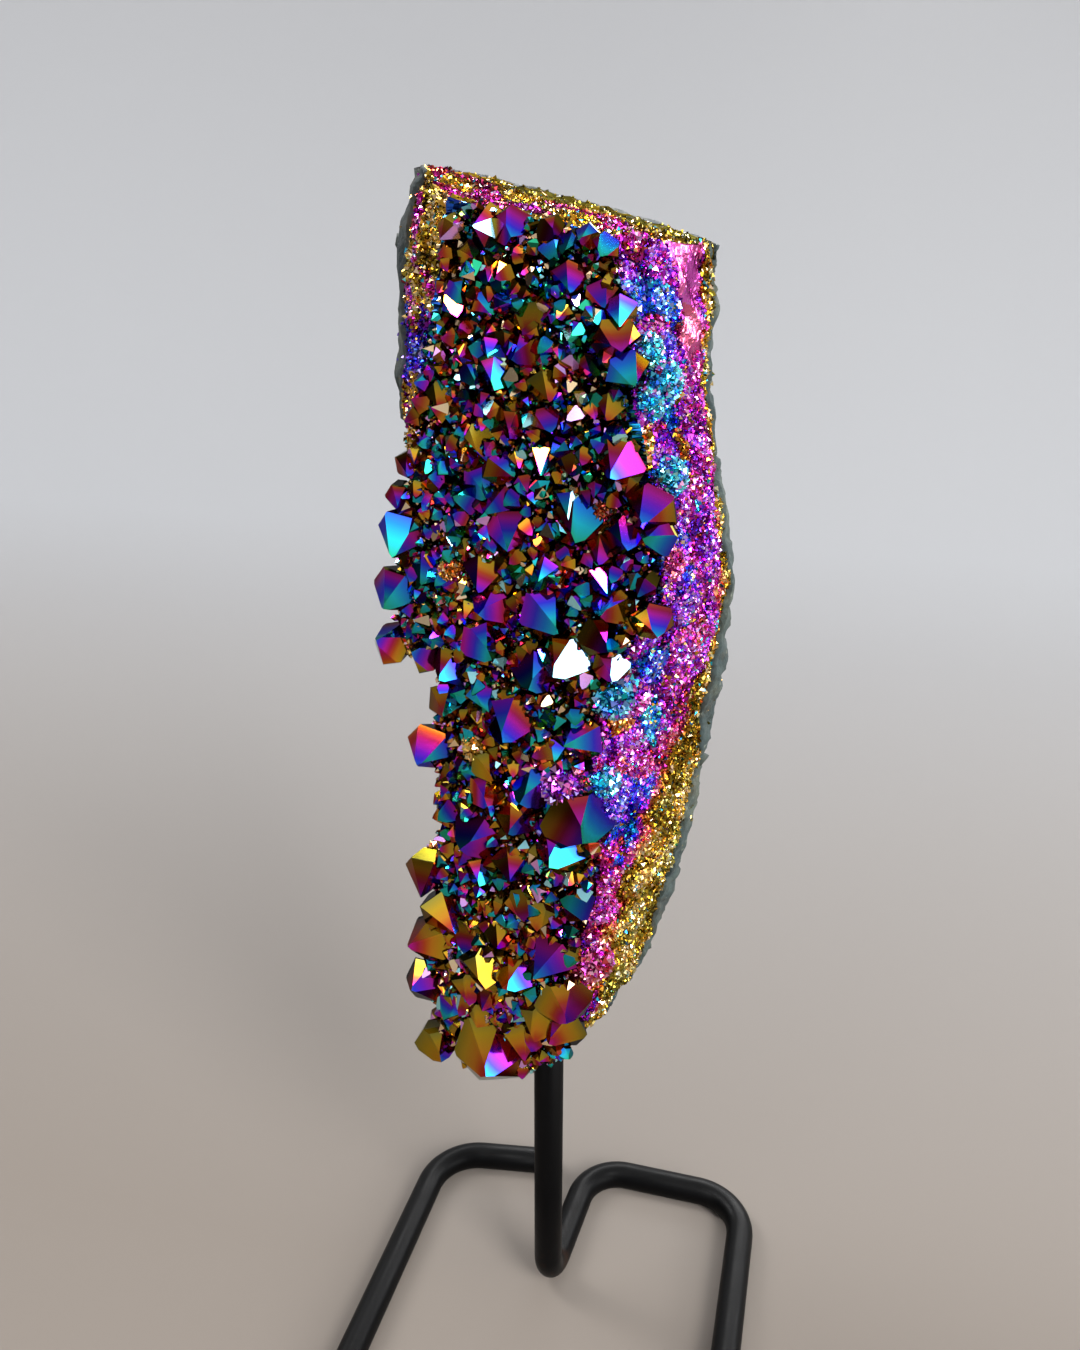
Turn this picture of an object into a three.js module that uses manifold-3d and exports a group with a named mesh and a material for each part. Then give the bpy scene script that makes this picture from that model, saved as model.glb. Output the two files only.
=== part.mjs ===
// Aura quartz cluster on a wire stand.
//
// Two pieces: crystal_cluster, a slab of geode crust with quartz points grown over its front,
// and stand_rod, one round steel rod bent into a square base and a post. The post stands in a
// blind hole in the underside of the slab.
//
// Millimetres, +Z up, front towards -Y. The origin is the middle of the base on the table.

import * as THREE from 'three';
import { ConvexGeometry } from 'three/addons/geometries/ConvexGeometry.js';
import { mergeVertices } from 'three/addons/utils/BufferGeometryUtils.js';
import Module from 'manifold-3d';

const wasm = await Module();
wasm.setup();

// ---- the stand -------------------------------------------------------------------------------

const ROD_DIAMETER = 6;
const ROD_SIDES = 12;
const BASE_SIZE = 75; // between the centre lines of opposite runs
const SIDE_BEND = 11; // centre-line radii of the bends
const LOOSE_BEND = 12;
const MIDDLE_BEND = 10;
const FOOT_BEND = 7;
const BEND_STEPS = 6; // straight pieces in one bend
const POST_X = -2.7;
const POST_Y = 4.7;
const POST_TOP = 90;
const RUN_BACK_X = -0.3; // where the run from the post meets the back run
const LOOSE_END = [-10, 37]; // the rod's free end, behind the post
const LOOSE_CORNER_Y = 32.7; // the free end's run slants, so its corner is further forward

// ---- the crust -------------------------------------------------------------------------------

const SLAB_TURN = -12; // degrees about the post: the slab's front looks a little towards -X
const SIDE_COLUMNS = [7, 5, 7, 5]; // points along the front, right, back and left of a section
const CRUST_COLUMNS = 24; // all of them
const CRUST_ROWS = 24;
const BED_FOOT = 66; // height of the lowest section
const BED_HEAD = 222; // height of the highest section before the top is broken off
const BED_DEPTH = 12; // the bed's usual distance in front of the post
const SLAB_MIDDLE = new THREE.Vector2(-2, -2); // u and v of the slab's middle
const TOP_BEND = 0.8; // share of the height above which rows bend to the broken top
const FOOT_BEND_END = 0.15; // share of the height below which rows bend to the underside
const FRONT_BULGE = 1;
const SIDE_BULGE = 1.5;
const BACK_BULGE = 4.5;
const ROCK_RELIEF = 0.9; // lumps and dents on the broken sides and the back
const BED_RELIEF = 0.5; // unevenness of the bed that the points grow from

// The slab's section at a few heights: z, then u and v of its left-front, right-front,
// right-back and left-back corners. u runs to the right and v out of the front, from the post.
const SECTIONS = [
  [66, -16, 10, 5, 9, 10, -7.5, -10, -6],
  [78, -18.5, 10.5, 10, 11, 13.5, -11, -14, -9],
  [92, -19.5, 10.5, 11.5, 12, 16, -14, -16, -11],
  [106, -17, 11, 13.5, 13, 20, -15, -17, -12],
  [120, -14, 11, 16.5, 13, 22.3, -15.5, -18, -12],
  [134, -15.5, 11, 14.5, 13, 24.2, -15.5, -19, -12],
  [146, -13, 11, 14.5, 13, 25.6, -15.5, -20, -12],
  [157, -22.5, 10, 19.5, 13.5, 26.6, -16, -24, -12],
  [168, -23, 10, 25, 14, 26, -16, -27, -11],
  [182, -19, 11, 25, 14, 23, -16, -30, -9],
  [196, -17, 12, 20, 13.5, 20.5, -16, -32, -7],
  [212, -13, 12.5, 18.5, 13, 20.5, -16, -31.5, -6],
  [224, -10.5, 12, 13, 12, 21, -15, -23, -3],
];

// The broken top falls to the right and rises to the back, with a peak at its left corner.
const TOP_HEIGHT = 221.3;
const TOP_FALL = 0.2; // per millimetre to the right
const TOP_RISE = 0.17; // per millimetre to the back, at the left end
const TOP_RISE_END = 24; // u at which the top no longer rises to the back
const TOP_RISE_WIDTH = 50; // over which that rise fades
const PEAK = { u: -19, v: 4, height: 1.7, spread: 7 };
const FOOT_RISE = 0.6; // the underside rises to the right, per millimetre past FOOT_TURN
const FOOT_TURN = -6;

// Lumps of fused grains beside and among the points: u, v, z and radius.
const GRAIN_LUMPS = [
  [20, 10, 203, 2.5],
  [20.7, 6, 203.5, 2.1],
  [21, 7, 198.5, 3.3],
  [20, 10, 195.5, 2.9],
  [24, 10, 185.5, 2.9],
  [25, 11, 173, 2.5],
  [24, 12, 168, 2.1],
  [16.5, 10.5, 150.5, 4.1],
  [18.5, 8.5, 149.5, 3.3],
  [9.5, 12.5, 134, 4.5],
  [14.8, 10.5, 134.5, 3.1],
  [16, 10, 130, 2.9],
  [15, 10, 110, 2.9],
  [13.4, 9.5, 98, 3.7],
  [-11.8, 12, 167.5, 2.5],
  [-7.2, 12, 137, 3.3],
  [15.4, 12.5, 180.5, 2.9],
];

// ---- the quartz points -----------------------------------------------------------------------

const FACE_SLOPE = 1.27; // rise over run of a quartz point's faces, 51.8 degrees
const ROOT_DEPTH = 2.5; // how far a point's prism goes into the bed
const KEY_POINT_LENGTH = 1.2; // length over the bed, in radii
const FIELD_POINT_LENGTH = 1.05;
const NARROWING = 0.22; // of a sixth of a turn, by which every other face is narrower
const FLATTENING = [0.8, 1.1]; // least and most width of a point across its thickness

// Points spread over the rest of the bed: their counts, the range of their radii as shares of
// the grown radius, and how close they stand to the biggest points, in sums of both radii.
const LARGE_POINTS = { first: 1, last: 190, spread: [0.95, 1.3], closeness: 0.62 };
const SMALL_POINTS = { first: 191, last: 390, spread: [0.6, 0.85], closeness: 0.6 };
const FIELD = { left: -26, right: 28, foot: 69, head: 222 };
const GOLDEN_STEPS = [0.7548776662, 0.569840291]; // shares of the field's width and height
const GROWN_RADIUS = { foot: 4.4, head: 2.5 };
const USUAL_LEAN = [0.2, -0.4]; // to the right and upwards
const LEAN_SCATTER = 0.6;
const EDGE_LEAN = [-0.5, -0.4]; // more, at the bed's left and lower edges
const EDGE_WIDTH = 7;
const LOWER_EDGE = [72, 84];
const UPPER_STRIP = [180, 195]; // heights between which the points draw back from the left edge
const UPPER_STRIP_WIDTH = 2.5;
const LEFT_OVERHANG = 1; // past the bed's left edge, and short of its right edge
const RIGHT_MARGIN = 1.2;
const TOP_MARGIN = 0.8; // below the broken top, in radii

// The biggest points: u and z of the root, radius, the lean to the right and upwards, and the
// turn of the first face in degrees.
const KEY_POINTS = [
  [-2, 219, 2.9, -0.3, -0.8, -15],
  [-6.5, 216, 2.4, 1.1, -0.8, 115],
  [-8.5, 211, 2.5, 0.8, -1, 70],
  [-9, 208.5, 2.7, 0.5, -0.5, 120],
  [-3.5, 209, 2.7, 1.1, -0.7, 145],
  [0.5, 219, 3.3, 0.5, -0.3, 75],
  [7, 216.5, 2.4, 0.8, -1.3, 45],
  [6.5, 218.5, 2.5, 0.7, -0.2, 65],
  [12, 217.5, 2.4, 0, 0, -20],
  [14.5, 216.5, 2.4, 0.2, -0.4, 55],
  [9.5, 217, 2.4, 0, -0.5, -30],
  [10, 212.5, 3.3, 0.4, -0.5, 75],
  [14.5, 210.5, 2.7, 0.7, -0.7, 140],
  [17, 208.5, 2.9, 0.5, -0.8, 75],
  [-4.5, 202.5, 2.9, -0.2, 0.2, -35],
  [-2, 200, 3.7, 0.3, -0.9, 55],
  [3, 202.5, 3.4, -0.1, -0.2, -10],
  [-6.5, 199, 2.4, 0.8, -0.7, 60],
  [-12.5, 195.5, 2.9, 0.4, -0.7, 85],
  [6.5, 198, 3.5, 0.6, -0.6, 90],
  [1, 192.5, 3.2, 0.2, -0.7, 30],
  [-15.5, 188.5, 2.6, -0.1, -0.2, -20],
  [-1.5, 185.5, 3.8, 1.2, -0.3, 150],
  [-20, 184, 2.9, 0.4, -0.5, 70],
  [6, 187, 3.1, 0.2, -0.5, 35],
  [-5, 183, 3.9, 0.6, -0.6, 75],
  [16.5, 205, 3.9, 0.8, -0.5, 120],
  [13, 201, 2.8, 0.8, -0.6, 105],
  [18.5, 200.5, 3.5, 0.9, -0.6, 145],
  [16.5, 195.5, 3, 0.2, -0.5, 55],
  [7, 193, 3.2, 0.5, -0.4, 120],
  [18.5, 188, 4.5, 0.1, -0.3, 20],
  [11, 181, 4.2, 0.6, -0.3, 80],
  [12, 178.5, 4.8, 0.3, -0.4, 65],
  [20, 177.5, 3.6, 0.4, -0.4, 85],
  [23.5, 181.5, 4.2, 0.1, -0.2, 60],
  [24.5, 178, 3.4, -0.2, 0, -50],
  [16, 175, 3.4, 0.2, -0.5, 55],
  [16.5, 170, 3.5, 0.5, -0.4, 70],
  [17.5, 166, 3.9, 0, -0.1, -15],
  [6.5, 163, 5.7, 0.8, -0.2, 70],
  [10, 156.5, 4.9, 0, -0.3, 20],
  [17.5, 156.5, 3.4, 0.5, -0.4, 60],
  [4.5, 153, 4.9, 0.2, -0.2, 10],
  [15.5, 161, 4.1, 0.8, -0.3, 60],
  [24, 165, 3.6, 0.7, -0.5, 95],
  [-21.5, 173, 5.1, 0, -0.8, -175],
  [-22.5, 178.5, 2.8, 0.4, -0.6, 35],
  [-24, 162.5, 4.9, 0, -0.5, 5],
  [-25.5, 152, 4.4, -0.1, 0.4, -35],
  [-18.5, 151, 3.6, -0.2, 0.4, -35],
  [-12.5, 150.5, 4.4, 0, -0.2, 15],
  [-5.5, 157, 4.9, 0.8, -0.5, 80],
  [-5, 168, 4.5, 0.2, -0.4, 65],
  [-3.5, 163, 4.1, -0.1, -0.1, -20],
  [-1.5, 180, 3.7, -0.3, -0.3, 0],
  [0, 176, 4.4, 0.3, -0.6, 55],
  [-8.5, 180, 3, -0.1, 0.2, -45],
  [-13.5, 143.5, 4.4, 0.3, -0.1, 55],
  [-17.5, 134.5, 4.9, 0, -0.3, -175],
  [0, 143.5, 5.7, 0.2, -0.2, 45],
  [-5, 134, 4.1, 0.7, -0.2, 75],
  [-5, 129, 4.4, 0.4, -0.1, 65],
  [4, 132, 4.9, 0, -0.1, -5],
  [-7.5, 120, 5.4, -0.1, -0.1, -35],
  [1, 125.5, 4.9, 0.1, -0.1, 15],
  [12, 128, 6.2, 0.6, -0.1, 55],
  [9.5, 122.5, 5.7, 0.1, -0.1, 30],
  [-19.5, 109, 5.2, 0.2, -0.8, 25],
  [12.5, 143, 4.4, -0.2, 0, -15],
  [-16, 101.5, 5.7, 1, -0.5, 105],
  [-19.5, 93, 5.2, -0.4, 0.1, -30],
  [-21.5, 82.5, 4.9, 0, 0.2, 25],
  [-6, 73, 8.5, 0.5, 0.1, 50],
  [-20, 69, 4.9, 0.8, -0.5, 65],
  [9, 90, 5.2, 0.6, -0.2, 60],
  [7, 99.5, 5.4, -0.1, -0.3, 5],
  [0, 92.5, 4.6, 0.1, 0, 25],
  [12, 112, 4.1, -0.3, 0.5, -30],
  [-3, 100.5, 4.1, 0.3, 0, 45],
  [0, 116, 4.4, 0.3, -0.1, 25],
  [-7.5, 112.5, 3.6, 0.4, -0.4, 60],
];

// ---- the hole for the post -------------------------------------------------------------------

const FIT_GAP = 0.3; // left all round the post for the glue
const HOLE_OVERRUN = 20; // the cutter's length past the underside

// ---- helpers ---------------------------------------------------------------------------------

const ROUNDING = 1e-9; // added before a whole step is taken
const WELD_DISTANCE = 1e-4;

const lerp = THREE.MathUtils.lerp;
const clamp = THREE.MathUtils.clamp;
const smoothstep = THREE.MathUtils.smoothstep;

const slabTurn = THREE.MathUtils.degToRad(SLAB_TURN);
const slabRight = new THREE.Vector3(Math.cos(slabTurn), Math.sin(slabTurn), 0);
const slabFront = new THREE.Vector3(Math.sin(slabTurn), -Math.cos(slabTurn), 0);

/** A point of the slab given by u, v and height. */
function slabPoint(u, v, z) {
  const point = new THREE.Vector3(POST_X, POST_Y, z);
  return point.addScaledVector(slabRight, u).addScaledVector(slabFront, v);
}

/** A repeatable number from 0 to 1 for a count and a purpose. */
function chance(count, purpose) {
  const wave = Math.sin(count * 12.9898 + purpose * 78.233) * 43758.5453;
  return wave - Math.floor(wave);
}

/** Smooth lumps about 8 mm across, from -1 to 1. */
function lumps(u, v, z) {
  const broad = Math.sin(0.38 * u + 1.7 * Math.sin(0.09 * z)) * Math.sin(0.33 * z + 0.4 * v);
  const fine = Math.sin(0.83 * v - 0.71 * z + 0.5) * Math.sin(0.77 * u + 0.29 * z);
  return 0.6 * broad + 0.4 * fine;
}

// ---- stand_rod -------------------------------------------------------------------------------

/** The points of a rounded corner on a path, from one straight run to the next. */
function bendPoints(before, corner, after, radius) {
  const towardsBefore = before.clone().sub(corner).normalize();
  const towardsAfter = after.clone().sub(corner).normalize();
  const half = towardsBefore.angleTo(towardsAfter) / 2;
  const bisector = towardsBefore.clone().add(towardsAfter).normalize();
  const centre = corner.clone().addScaledVector(bisector, radius / Math.sin(half));
  const sideways = towardsAfter.clone().sub(towardsBefore).normalize();
  const points = [];
  for (let step = 0; step <= BEND_STEPS; step += 1) {
    const angle = lerp(half - Math.PI / 2, Math.PI / 2 - half, step / BEND_STEPS);
    const point = centre.clone().addScaledVector(bisector, -radius * Math.cos(angle));
    points.push(point.addScaledVector(sideways, radius * Math.sin(angle)));
  }
  return points;
}

/** A path through a list of points, sampled at the points themselves. */
class PointPath extends THREE.Curve {
  constructor(points) {
    super();
    this.points = points;
  }

  getPoint(t) {
    const place = t * (this.points.length - 1);
    const index = Math.min(Math.floor(place + ROUNDING), this.points.length - 2);
    return this.points[index].clone().lerp(this.points[index + 1], place - index);
  }

  getPointAt(t) {
    return this.getPoint(t);
  }

  getTangentAt(t) {
    const index = Math.round(t * (this.points.length - 1));
    const here = this.points[index];
    const before = this.points[Math.max(index - 1, 0)];
    const after = this.points[Math.min(index + 1, this.points.length - 1)];
    const arriving = here.clone().sub(before).normalize();
    const leaving = after.clone().sub(here).normalize();
    return arriving.add(leaving).normalize();
  }
}

/** The rod's centre line, from its loose end behind the post to the top of the post. */
function rodPath() {
  const half = BASE_SIZE / 2;
  const height = ROD_DIAMETER / 2;
  const looseEnd = new THREE.Vector3(LOOSE_END[0], LOOSE_END[1], height);
  const corners = [
    { at: new THREE.Vector3(-half, LOOSE_CORNER_Y, height), radius: LOOSE_BEND },
    { at: new THREE.Vector3(-half, -half, height), radius: SIDE_BEND },
    { at: new THREE.Vector3(half, -half, height), radius: SIDE_BEND },
    { at: new THREE.Vector3(half, half, height), radius: SIDE_BEND },
    { at: new THREE.Vector3(RUN_BACK_X, half, height), radius: MIDDLE_BEND },
    { at: new THREE.Vector3(POST_X, POST_Y, height), radius: FOOT_BEND },
  ];
  const postTop = new THREE.Vector3(POST_X, POST_Y, POST_TOP);
  const ends = [looseEnd, ...corners.map((corner) => corner.at), postTop];
  const bends = corners.map(({ at, radius }, i) => bendPoints(ends[i], at, ends[i + 2], radius));
  return new PointPath([looseEnd, ...bends.flat(), postTop]);
}

/** The rod's section: flat sides up, down, left and right, so that the base lies flat. */
function rodSection(distanceToFlat) {
  const radius = distanceToFlat / Math.cos(Math.PI / ROD_SIDES);
  const corners = [];
  for (let side = 0; side < ROD_SIDES; side += 1) {
    const angle = ((side + 0.5) * 2 * Math.PI) / ROD_SIDES;
    corners.push(new THREE.Vector2(radius * Math.cos(angle), radius * Math.sin(angle)));
  }
  return new THREE.Shape(corners);
}

function standRodGeometry() {
  const path = rodPath();
  return new THREE.ExtrudeGeometry(rodSection(ROD_DIAMETER / 2), {
    steps: path.points.length - 1,
    extrudePath: path,
  });
}

// ---- crystal_cluster: the crust ----------------------------------------------------------------

/** The slab's four corners at a height, as [leftFront, rightFront, rightBack, leftBack]. */
function sectionCorners(z) {
  const last = SECTIONS.length - 1;
  const above = clamp(SECTIONS.findIndex((section) => section[0] >= z), 1, last);
  const index = z > SECTIONS[last][0] ? last : above;
  const low = SECTIONS[index - 1];
  const high = SECTIONS[index];
  const share = clamp((z - low[0]) / (high[0] - low[0]), 0, 1);
  const values = low.map((value, i) => lerp(value, high[i], share));
  return [1, 3, 5, 7].map((i) => new THREE.Vector2(values[i], values[i + 1]));
}

/** The height of the broken top above a place in the section. */
function topHeight(u, v) {
  const fade = clamp((TOP_RISE_END - u) / TOP_RISE_WIDTH, 0, 1);
  const toTheBack = (BED_DEPTH - v) * TOP_RISE * fade;
  const away = ((u - PEAK.u) ** 2 + (v - PEAK.v) ** 2) / PEAK.spread ** 2;
  return TOP_HEIGHT - TOP_FALL * u + toTheBack + PEAK.height * Math.exp(-away);
}

/** The height of the underside at a distance to the right. */
function footHeight(u) {
  return BED_FOOT + FOOT_RISE * Math.max(u - FOOT_TURN, 0);
}

/** A place on the slab's outline: side 0 front, 1 right, 2 back, 3 left, and how far along. */
function outlinePlace(side, along, z) {
  const corners = sectionCorners(z);
  const start = corners[side];
  const end = corners[(side + 1) % 4];
  const outwards = new THREE.Vector2(start.y - end.y, end.x - start.x).normalize();
  const bulge = [FRONT_BULGE, SIDE_BULGE, BACK_BULGE, SIDE_BULGE][side];
  const relief = side === 0 ? BED_RELIEF : ROCK_RELIEF;
  const place = start.clone().lerp(end, along);
  const raised = bulge * 4 * along * (1 - along) + relief * lumps(place.x, place.y, z);
  return place.addScaledVector(outwards, raised);
}

/** Which side of the outline a column is on, and how far along it is. */
function outlineColumn(column) {
  let rest = column % CRUST_COLUMNS;
  let side = 0;
  while (rest >= SIDE_COLUMNS[side]) {
    rest -= SIDE_COLUMNS[side];
    side += 1;
  }
  return { side, along: rest / SIDE_COLUMNS[side] };
}

/** The crust: a cylinder's grid drawn onto the slab's sections. */
function crustGeometry() {
  const geometry = new THREE.CylinderGeometry(1, 1, 1, CRUST_COLUMNS, CRUST_ROWS);
  const position = geometry.attributes.position;
  for (let i = 0; i < position.count; i += 1) {
    const reach = Math.hypot(position.getX(i), position.getZ(i));
    const angle = Math.atan2(position.getX(i), position.getZ(i)) / (2 * Math.PI);
    const column = Math.round((angle + 1) * CRUST_COLUMNS) % CRUST_COLUMNS;
    const rise = position.getY(i) + 0.5;
    const level = lerp(BED_FOOT, BED_HEAD, rise);
    const { side, along } = outlineColumn(column);
    const place = SLAB_MIDDLE.clone().lerp(outlinePlace(side, along, level), reach);
    const atTop = smoothstep(rise, TOP_BEND, 1) * (topHeight(place.x, place.y) - BED_HEAD);
    const atFoot = (1 - smoothstep(rise, 0, FOOT_BEND_END)) * (footHeight(place.x) - BED_FOOT);
    const point = slabPoint(place.x, place.y, level + atTop + atFoot);
    position.setXYZ(i, point.x, point.y, point.z);
  }
  return geometry;
}

// ---- crystal_cluster: the points ---------------------------------------------------------------

/** Where a point stands on the bed: its root and the direction in which it grew. */
function pointSeat(u, z, leanRight, leanUp) {
  const [left, right] = sectionCorners(z);
  const along = clamp((u - left.x) / (right.x - left.x), 0.02, 0.98);
  const place = outlinePlace(0, along, z);
  const direction = slabFront.clone().addScaledVector(slabRight, leanRight);
  direction.z += leanUp;
  return { root: slabPoint(u, place.y, z), direction: direction.normalize() };
}

/** The lean of a point towards the bed's left and lower edges where it stands near them. */
function edgeLean(u, z) {
  const [left] = sectionCorners(z);
  const leftwards = 1 - smoothstep(u, left.x, left.x + EDGE_WIDTH);
  const downwards = 1 - smoothstep(z, ...LOWER_EDGE);
  return [EDGE_LEAN[0] * leftwards, EDGE_LEAN[1] * downwards];
}

/** The corners of a point with a prism: six sides under six sloping faces. */
function prismCorners(radius, length) {
  const flat = radius * Math.cos(Math.PI / 6);
  const corners = [new THREE.Vector3(0, 0, length)];
  for (let k = 0; k < 6; k += 1) {
    const angle = (k + 0.5) * (Math.PI / 3);
    const x = radius * Math.cos(angle);
    const y = radius * Math.sin(angle);
    corners.push(new THREE.Vector3(x, y, length - FACE_SLOPE * flat));
    corners.push(new THREE.Vector3(x, y, -ROOT_DEPTH));
  }
  return corners;
}

/** The corners of a point with no prism: three wide and three narrow faces down to the bed. */
function pyramidCorners(length) {
  const radius = (length + ROOT_DEPTH) / FACE_SLOPE;
  const corners = [new THREE.Vector3(0, 0, length)];
  for (let k = 0; k < 6; k += 1) {
    const angle = (k + (k % 2 ? 1 - NARROWING : NARROWING)) * (Math.PI / 3);
    corners.push(new THREE.Vector3(radius * Math.cos(angle), radius * Math.sin(angle), -ROOT_DEPTH));
  }
  return corners;
}

/** One quartz point, flattened, twisted and stood on its seat. */
function quartzPoint(count, seat, twist, corners) {
  const upright = new THREE.Vector3(0, 0, 1);
  const flatten = lerp(...FLATTENING, chance(count, 1));
  const turn = new THREE.Quaternion().setFromUnitVectors(upright, seat.direction);
  for (const corner of corners) {
    corner.x *= flatten;
    corner.applyAxisAngle(upright, twist).applyQuaternion(turn).add(seat.root);
  }
  return new ConvexGeometry(corners);
}

function keyPoints() {
  return KEY_POINTS.map(([u, z, radius, leanRight, leanUp, degrees], i) => {
    const seat = pointSeat(u, z, leanRight, leanUp);
    const twist = THREE.MathUtils.degToRad(degrees);
    return quartzPoint(-1 - i, seat, twist, prismCorners(radius, radius * KEY_POINT_LENGTH));
  });
}

/** Whether a place on the bed is far enough from the key points. */
function clearOfKeyPoints(u, z, radius, closeness) {
  return KEY_POINTS.every(([keyU, keyZ, keyRadius]) =>
    Math.hypot(u - keyU, z - keyZ) > closeness * (keyRadius + radius));
}

/** Whether a place is on the bed, clear of its edges and of the strip at its upper left. */
function isOnBed(u, z, radius) {
  const [left, right] = sectionCorners(z);
  const leftEdge = left.x - LEFT_OVERHANG + UPPER_STRIP_WIDTH * smoothstep(z, ...UPPER_STRIP);
  const across = u > leftEdge && u < right.x - RIGHT_MARGIN;
  const highest = topHeight(u, BED_DEPTH) - TOP_MARGIN * radius;
  return across && z > footHeight(u) + radius && z < highest;
}

/** The seat of a field point, leaned by chance and by the bed's edges. */
function fieldSeat(count, u, z) {
  const edge = edgeLean(u, z);
  const scatter = [4, 5].map((purpose) => lerp(-LEAN_SCATTER, LEAN_SCATTER, chance(count, purpose)));
  const [leanRight, leanUp] = [0, 1].map((i) => edge[i] + USUAL_LEAN[i] + scatter[i]);
  return pointSeat(u, z, leanRight, leanUp);
}

/** Points spread evenly over the rest of the bed, larger towards the bottom. */
function fieldPoints({ first, last, spread, closeness }) {
  const points = [];
  for (let count = first; count <= last; count += 1) {
    const u = lerp(FIELD.left, FIELD.right, (count * GOLDEN_STEPS[0]) % 1);
    const z = lerp(FIELD.foot, FIELD.head, (count * GOLDEN_STEPS[1]) % 1);
    const height = (z - FIELD.foot) / (FIELD.head - FIELD.foot);
    const grown = lerp(GROWN_RADIUS.foot, GROWN_RADIUS.head, height);
    const radius = grown * lerp(...spread, chance(count, 3));
    if (isOnBed(u, z, radius) && clearOfKeyPoints(u, z, radius, closeness)) {
      const twist = 2 * Math.PI * chance(count, 2);
      const corners = pyramidCorners(radius * FIELD_POINT_LENGTH);
      points.push(quartzPoint(count, fieldSeat(count, u, z), twist, corners));
    }
  }
  return points;
}

/** The lumps of fused grains, each a twenty-sided ball half sunk in the side or the bed. */
function grainLumps() {
  return GRAIN_LUMPS.map(([u, v, z, radius], i) => {
    const middle = slabPoint(u, v, z);
    const lump = new THREE.IcosahedronGeometry(radius, 0).rotateZ(i);
    return lump.translate(middle.x, middle.y, middle.z);
  });
}

// ---- crystal_cluster: joined, with the hole for the post -----------------------------------------

function postHoleGeometry() {
  const depthEnd = POST_TOP + FIT_GAP;
  const length = depthEnd - BED_FOOT + HOLE_OVERRUN;
  const hole = new THREE.ExtrudeGeometry(rodSection(ROD_DIAMETER / 2 + FIT_GAP), {
    depth: length,
    bevelEnabled: false,
  });
  return hole.translate(POST_X, POST_Y, depthEnd - length);
}

/** A closed mesh as a solid for joining and cutting. */
function solidOf(geometry) {
  const bare = geometry.clone();
  bare.deleteAttribute('normal');
  bare.deleteAttribute('uv');
  const merged = mergeVertices(bare, WELD_DISTANCE);
  return new wasm.Manifold(new wasm.Mesh({
    numProp: 3,
    vertProperties: new Float32Array(merged.attributes.position.array),
    triVerts: new Uint32Array(merged.index.array),
  }));
}

/** A solid's mesh as geometry, with each face flat. */
function geometryOf(solid) {
  const mesh = solid.getMesh();
  const shared = new THREE.BufferGeometry();
  shared.setAttribute('position', new THREE.BufferAttribute(mesh.vertProperties, 3));
  shared.setIndex(new THREE.BufferAttribute(mesh.triVerts, 1));
  const geometry = shared.toNonIndexed();
  geometry.computeVertexNormals();
  return geometry;
}

/** The outer shell of a solid alone, so that pockets shut in between points are filled. */
function outerShell(solid) {
  const shells = solid.decompose();
  return shells.reduce((biggest, shell) => (shell.volume() > biggest.volume() ? shell : biggest));
}

function clusterGeometry() {
  const pieces = [
    crustGeometry(),
    ...grainLumps(),
    ...keyPoints(),
    ...fieldPoints(LARGE_POINTS),
    ...fieldPoints(SMALL_POINTS),
  ];
  let cluster = solidOf(pieces[0]);
  for (const piece of pieces.slice(1)) {
    cluster = cluster.add(solidOf(piece));
  }
  return geometryOf(outerShell(cluster).subtract(solidOf(postHoleGeometry())));
}

// ---- the object --------------------------------------------------------------------------------

function namedMesh(name, geometry, material) {
  const mesh = new THREE.Mesh(geometry, material);
  mesh.name = name;
  return mesh;
}

const auraQuartz = new THREE.MeshStandardMaterial({ color: 0x5a2f7e, roughness: 0.18, metalness: 0.9 });
const blackPowderCoat = new THREE.MeshStandardMaterial({
  color: 0x141517,
  roughness: 0.45,
  metalness: 0.2,
});

const cluster = new THREE.Group();
cluster.add(namedMesh('crystal_cluster', clusterGeometry(), auraQuartz));
cluster.add(namedMesh('stand_rod', standRodGeometry(), blackPowderCoat));

export default cluster;
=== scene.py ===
"""Aura quartz cluster on a bent wire stand.

The slab of geode crust is one closed shell whose broken sides and top are cut into small facets.
Quartz points stand over its front: the big ones where the frame's own points are, smaller ones
and a fine druse between them. A dull green rind covers its back. The stand is one round rod.

The shapes are worked out in millimetres, in the frame's own axes, and written in metres.
The slab has its own directions: u to the right, v out of the front, z up, from the post's axis.
"""

import math
from itertools import product

import bpy
import numpy as np
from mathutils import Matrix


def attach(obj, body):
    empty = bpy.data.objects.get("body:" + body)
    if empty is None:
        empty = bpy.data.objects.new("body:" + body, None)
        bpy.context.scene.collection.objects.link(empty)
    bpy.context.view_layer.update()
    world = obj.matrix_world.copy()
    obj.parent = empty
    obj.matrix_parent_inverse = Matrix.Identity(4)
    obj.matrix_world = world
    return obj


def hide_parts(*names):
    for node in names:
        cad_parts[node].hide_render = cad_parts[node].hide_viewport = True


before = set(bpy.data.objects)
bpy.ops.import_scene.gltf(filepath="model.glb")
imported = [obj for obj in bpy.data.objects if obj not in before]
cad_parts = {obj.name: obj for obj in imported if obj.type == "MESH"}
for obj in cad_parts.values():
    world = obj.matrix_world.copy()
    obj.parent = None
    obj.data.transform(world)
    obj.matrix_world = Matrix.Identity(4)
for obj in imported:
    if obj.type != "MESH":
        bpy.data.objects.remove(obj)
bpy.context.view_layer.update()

METRE = 0.001  # metres in a millimetre

# ---- the stand ---------------------------------------------------------------------------------

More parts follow.
